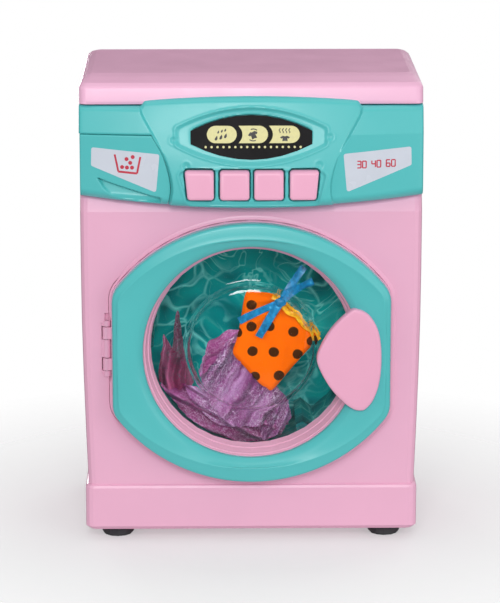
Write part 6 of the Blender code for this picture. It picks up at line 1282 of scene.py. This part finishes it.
# Ribbons: name, width in millimetres, twist, nodes replaced, and a path as pixels with a depth
RIBBONS = [
    ("ribbon_band_left", 4.0, 0.25, ("dress_ribbon",), [
        (239.0, 319.0, -0.0337), (250.0, 313.5, -0.0356), (262.0, 308.0, -0.0360), (279.5, 300.8, -0.0362)]),
    ("ribbon_band_low", 4.4, -0.3, (), [
        (258.5, 335.0, -0.0352), (264.0, 326.0, -0.0360), (271.0, 314.0, -0.0364), (280.0, 300.5, -0.0366)]),
    ("ribbon_tail_up", 4.6, 0.5, (), [
        (280.0, 300.5, -0.0366), (290.0, 291.0, -0.0372), (300.0, 285.0, -0.0368), (313.0, 279.0, -0.0362)]),
    ("ribbon_tail_high", 4.2, -0.5, (), [
        (280.5, 300.0, -0.0362), (287.0, 290.0, -0.0364), (295.0, 277.5, -0.0358), (304.0, 264.5, -0.0350)]),
]


def make_ribbon():
    """Blue satin ribbon round the dress, tied in a knot with two tails."""
    for name, width, twist, replaced, path in RIBBONS:
        piece, total = ribbon_run(name, [drum_point(*spot) for spot in path], width * MM, RIBBON, twist,
                                  replaced=replaced)
    knot = drum_point(280.3, 300.2, -0.0372)
    loops = []
    for level in range(11, 0, -1):
        polar = math.pi * level / 12
        loop = []
        for turn in (2 * math.pi * step / 20 for step in range(20)):
            swell = 1.0 + 0.16 * math.sin(3 * turn + 4 * polar)
            loop.append((knot[0] + 2.9 * MM * math.sin(polar) * math.cos(turn) * swell,
                         knot[1] + 1.5 * MM * math.sin(polar) * math.sin(turn),
                         knot[2] + 2.2 * MM * math.cos(polar) * swell))
        loops.append(loop)
    add("ribbon_knot", skin(loops), RIBBON, "drum", 0.0)


# The hem's two bands: start and end in pixels, and width in millimetres
HEMS = [((272.0, 293.5), (318.5, 336.5), 2.6), ((277.0, 292.0), (320.0, 332.0), 1.4)]
THREADS = 110
THREAD_HALF_WIDTH = 0.11 * MM


def make_hem(dress, dress_area):
    """The dress's gold hem and its loose threads."""
    for place, (start, end, width) in enumerate(HEMS):
        path = []
        for step in range(9):
            px, py = (low + (high - low) * step / 8 for low, high in zip(start, end))
            path.append(drum_point(px + 1.2 * math.sin(step * 1.9 + place), py + 1.2 * math.cos(step * 2.3),
                                   HEM_Y - 0.4 * MM * math.sin(step * 1.3)))
        ribbon_run(f"dress_hem_{place + 1}", path, width * MM, HEM, 0.7)[0]
    fray = random.Random(5)
    points, faces = [], []
    for _ in range(THREADS):
        share = fray.random()
        px = 273.0 + 46.0 * share + fray.uniform(-1.5, 2.5)
        py = 292.0 + 43.0 * share + fray.uniform(-2.5, 1.5)
        x, z = in_drum(px, py)
        turn = fray.uniform(0.2, 1.4)
        length = fray.uniform(1.2, 3.6) * MM
        out = Vector((math.cos(turn) * length, fray.uniform(-0.8, 0.8) * MM, math.sin(turn) * length))
        start = Vector((x, THREAD_Y + fray.uniform(-0.4, 0.6) * MM, z))
        side = Vector((-out.z, 0.0, out.x)).normalized() * THREAD_HALF_WIDTH
        deep = Vector((0.0, THREAD_HALF_WIDTH, 0.0))
        first = len(points)
        for spot, fine in ((start, 1.0), (start + out * 0.6 + side * 4.0, 0.8), (start + out, 0.45)):
            points += [spot - side * fine, spot + deep * fine, spot + side * fine]
        for level in (0, 3):
            for edge in range(3):
                a, b = first + level + edge, first + level + (edge + 1) % 3
                faces.append((a, b, b + 3, a + 3))
        faces += [(first + 2, first + 1, first), (first + 6, first + 7, first + 8)]
    add("hem_threads", (points, faces), HEM, "drum", 0.0)
    side = math.sqrt(dress_area)


# Tulle: name, material, depth, angle of the folds, their pitch and swing in millimetres, seed, outline
TULLE_SHEETS = [
    ("tulle_mass", TULLE_PALE, -0.0290, 58.0, 9.5, 1.9, 3, [
        (199.0, 368.0), (214.0, 344.0), (238.0, 330.0), (256.0, 352.0), (279.0, 392.0), (268.0, 418.0),
        (240.0, 424.0), (212.0, 404.0)]),
    ("tulle_low", TULLE_DEEP, -0.0240, -28.0, 8.0, 1.8, 8, [
        (160.6, 380.3), (182.0, 380.0), (206.0, 392.0), (244.0, 412.0), (272.0, 418.0), (289.0, 417.8),
        (276.0, 434.0), (248.0, 440.0), (214.0, 430.0), (184.0, 410.0)]),
    ("tulle_streak", TULLE_PALE, -0.0268, -35.0, 6.0, 1.2, 12, [
        (186.0, 384.0), (204.0, 386.0), (226.0, 400.0), (240.0, 420.0), (222.0, 424.0), (200.0, 408.0)]),
    ("tulle_side", TULLE_SIDE, -0.0262, 86.0, 6.5, 1.9, 15, [
        (160.6, 381.0), (160.5, 356.0), (164.5, 334.0), (170.0, 350.0), (174.0, 330.0), (178.8, 309.5),
        (182.5, 334.0), (187.5, 354.0), (195.0, 374.0), (186.0, 386.0)]),
    ("tulle_wisp", TULLE_DEEP, -0.0305, 40.0, 6.0, 1.1, 23, [
        (203.0, 372.0), (207.0, 346.0), (222.0, 331.0), (242.0, 327.0), (246.0, 338.0), (230.0, 343.0),
        (217.0, 357.0)]),
    ("tulle_corner", TULLE_PALE, -0.0262, 70.0, 5.5, 1.5, 31, [
        (262.0, 398.0), (272.0, 386.0), (284.0, 392.0), (291.0, 412.0), (282.0, 428.0), (262.0, 436.0)]),
]
TULLE_LEVELS = 34


def inside_drum(x, y, z):
    """Keep a cloth point within the drum's wall, the window and the drum's floor."""
    near = CLOTH_NEAR_Y[x > CLOTH_NEAR_SIDE_X]
    reach = math.hypot(x, z - RING_Z)
    if reach > CLOTH_LIMIT:
        x, z = scaled([(x, z)], (0.0, RING_Z), CLOTH_LIMIT / reach)[0]
    return (x, min(CLOTH_FAR_Y, max(near, y)), z)


def make_tulle():
    """Crumpled sheer net: a pale mass in the middle, deep folds below and a raised frill."""
    for name, finish, depth, angle, pitch, swing, seed, corners in TULLE_SHEETS:
        outline = rounded_loop([in_drum(px, py, depth) for px, py in corners], 12)
        centre = middle_of(outline)
        lean = math.radians(angle)
        rings = []
        for share in (level / TULLE_LEVELS for level in range(TULLE_LEVELS + 1)):
            ring = []
            for spot in outline if share else outline[:1]:
                ragged = 1.0 + 0.05 * ripple(*spot, 420.0, seed + 5.0) * share ** 6
                x, z = scaled([spot], centre, share * ragged)[0]
                # Pleats across the sheet, bent and uneven, then broad waves and small creases
                cross = -x * math.sin(lean) + z * math.cos(lean)
                bend = 1.6 * ripple(x, z, 55.0, seed)
                wave = math.sin(2 * math.pi * cross / (pitch * MM) + bend)
                wave += 0.35 * wave * abs(wave) + 0.8 * ripple(x, z, 70.0, seed + 2.0)
                wave += 0.30 * ripple(x, z, 300.0, seed + 9.0)
                sway = 1.2 * MM * ripple(x, z, 160.0, seed + 4.0)
                point = inside_drum(x + sway, depth + swing * MM * wave, z - sway)
                ring.append((point, (cross * 1.2, x * math.cos(lean) + z * math.sin(lean))))
            rings.append(ring)
        replaced = ("tulle_skirt",) if name == "tulle_mass" else ()
        sheet, area = cloth(name, rings, finish, replaced=replaced)


# ---------------------------------------------------------------- stage, light and camera
def place_in_scene(name, data, place, look):
    holder = bpy.data.objects.new(name, data)
    bpy.context.scene.collection.objects.link(holder)
    holder.location = place
    holder.rotation_euler = look.to_track_quat('-Z', 'Y').to_euler()
    return holder


# Lamps: name, place, the height they look at, size in metres and power in watts
LAMPS = [("key", (-0.08, -1.38, 0.78), 0.13, 0.50, 8.0), ("fill", (0.95, -1.00, 0.40), 0.12, 0.80, 2.6),
         ("top", (0.0, -0.10, 1.35), 0.15, 0.90, 2.2), ("back", (0.7, 1.2, 0.8), 0.12, 0.90, 3.0),
         ("rear", (-0.5, 1.25, 0.16), 0.13, 0.30, 4.5)]


def make_stage():
    """A pale floor that fades out round the toy, a pale world and soft studio light."""
    mesh = bpy.data.meshes.new("studio_floor")
    mesh.from_pydata([(-6, -6, 0), (6, -6, 0), (6, 6, 0), (-6, 6, 0)], [], [(0, 1, 2, 3)])
    floor = bpy.data.objects.new("studio_floor", mesh)
    bpy.context.scene.collection.objects.link(floor)
    made = Surface("studio_floor")
    away = made.node("VectorMath", made.place, operation="LENGTH").outputs["Value"]
    grain = made.ramp(made.noise(3.0), (0.3, (0.86, 0.86, 0.86, 1.0)), (0.7, (0.88, 0.88, 0.88, 1.0)))
    made.finish(Base_Color=grain, Roughness=0.8, Alpha=made.span(away, 0.62, 0.0, 0.10, 0.28))
    mesh.materials.append(made.material)

    # The world is white where the camera looks, also through the window, dim as light, and dimmer in
    # reflections
    world = bpy.data.worlds.new("studio")
    bpy.context.scene.world = world
    world.use_nodes = True
    world.node_tree.nodes.clear()
    sky = Graph(world.node_tree)
    path = sky.node("LightPath").outputs
    straight = sky.math("LESS_THAN", path["Glossy Depth"], 0.5)
    scattered = sky.math("MAXIMUM", straight, path["Diffuse Depth"], use_clamp=True)
    through = sky.math("MULTIPLY", scattered, path["Is Transmission Ray"])
    seen = sky.math("MAXIMUM", path["Is Camera Ray"], through)
    hushed = sky.math("MAXIMUM", path["Is Glossy Ray"], path["Is Transmission Ray"])
    quiet = sky.node("Math", hushed, -0.85, 1.0, operation="MULTIPLY_ADD").outputs["Value"]
    ahead = sky.node("SeparateXYZ", sky.node("TexCoord").outputs["Generated"]).outputs["Y"]
    strength = sky.math("MULTIPLY", sky.span(ahead, 0.55, 0.34, -0.5, 0.7), quiet)
    dim = sky.node("Background", Color=(0.97, 0.98, 1.0, 1.0), Strength=strength)
    pale = sky.node("Background", Color=(1.0, 1.0, 1.0, 1.0))
    mixed = sky.node("MixShader", seen, dim.outputs["Background"], pale.outputs["Background"])
    sky.node("OutputWorld", mixed.outputs["Shader"])

    for name, place, aim_z, size, power in LAMPS:
        lamp = bpy.data.lights.new(name, "AREA")
        lamp.shape = "SQUARE"
        lamp.size = size
        lamp.energy = power
        place_in_scene(name, lamp, place, Vector((0.0, 0.0, aim_z)) - Vector(place))


def make_camera():
    camera = bpy.data.cameras.new("view")
    camera.sensor_fit = 'HORIZONTAL'
    camera.sensor_width = 36.0
    camera.lens = FOCAL_PIXELS * camera.sensor_width / FRAME_PIXELS[0]
    camera.clip_start = 0.01
    eye = CAMERA_AIM + CAMERA_AWAY * CAMERA_DISTANCE
    bpy.context.scene.camera = place_in_scene("view", camera, eye, -CAMERA_AWAY)
    bpy.context.scene.view_settings.view_transform = 'Standard'


make_camera()
make_stage()
make_fascia()
make_buttons()
make_display_art()
make_labels()
make_door_ring()
make_handle()
make_window()
make_funnel_trim()
make_door_flange()
make_hinge_plate()
make_lid()
make_tulle()
dressed = make_dress()
make_ribbon()
make_hem(*dressed)
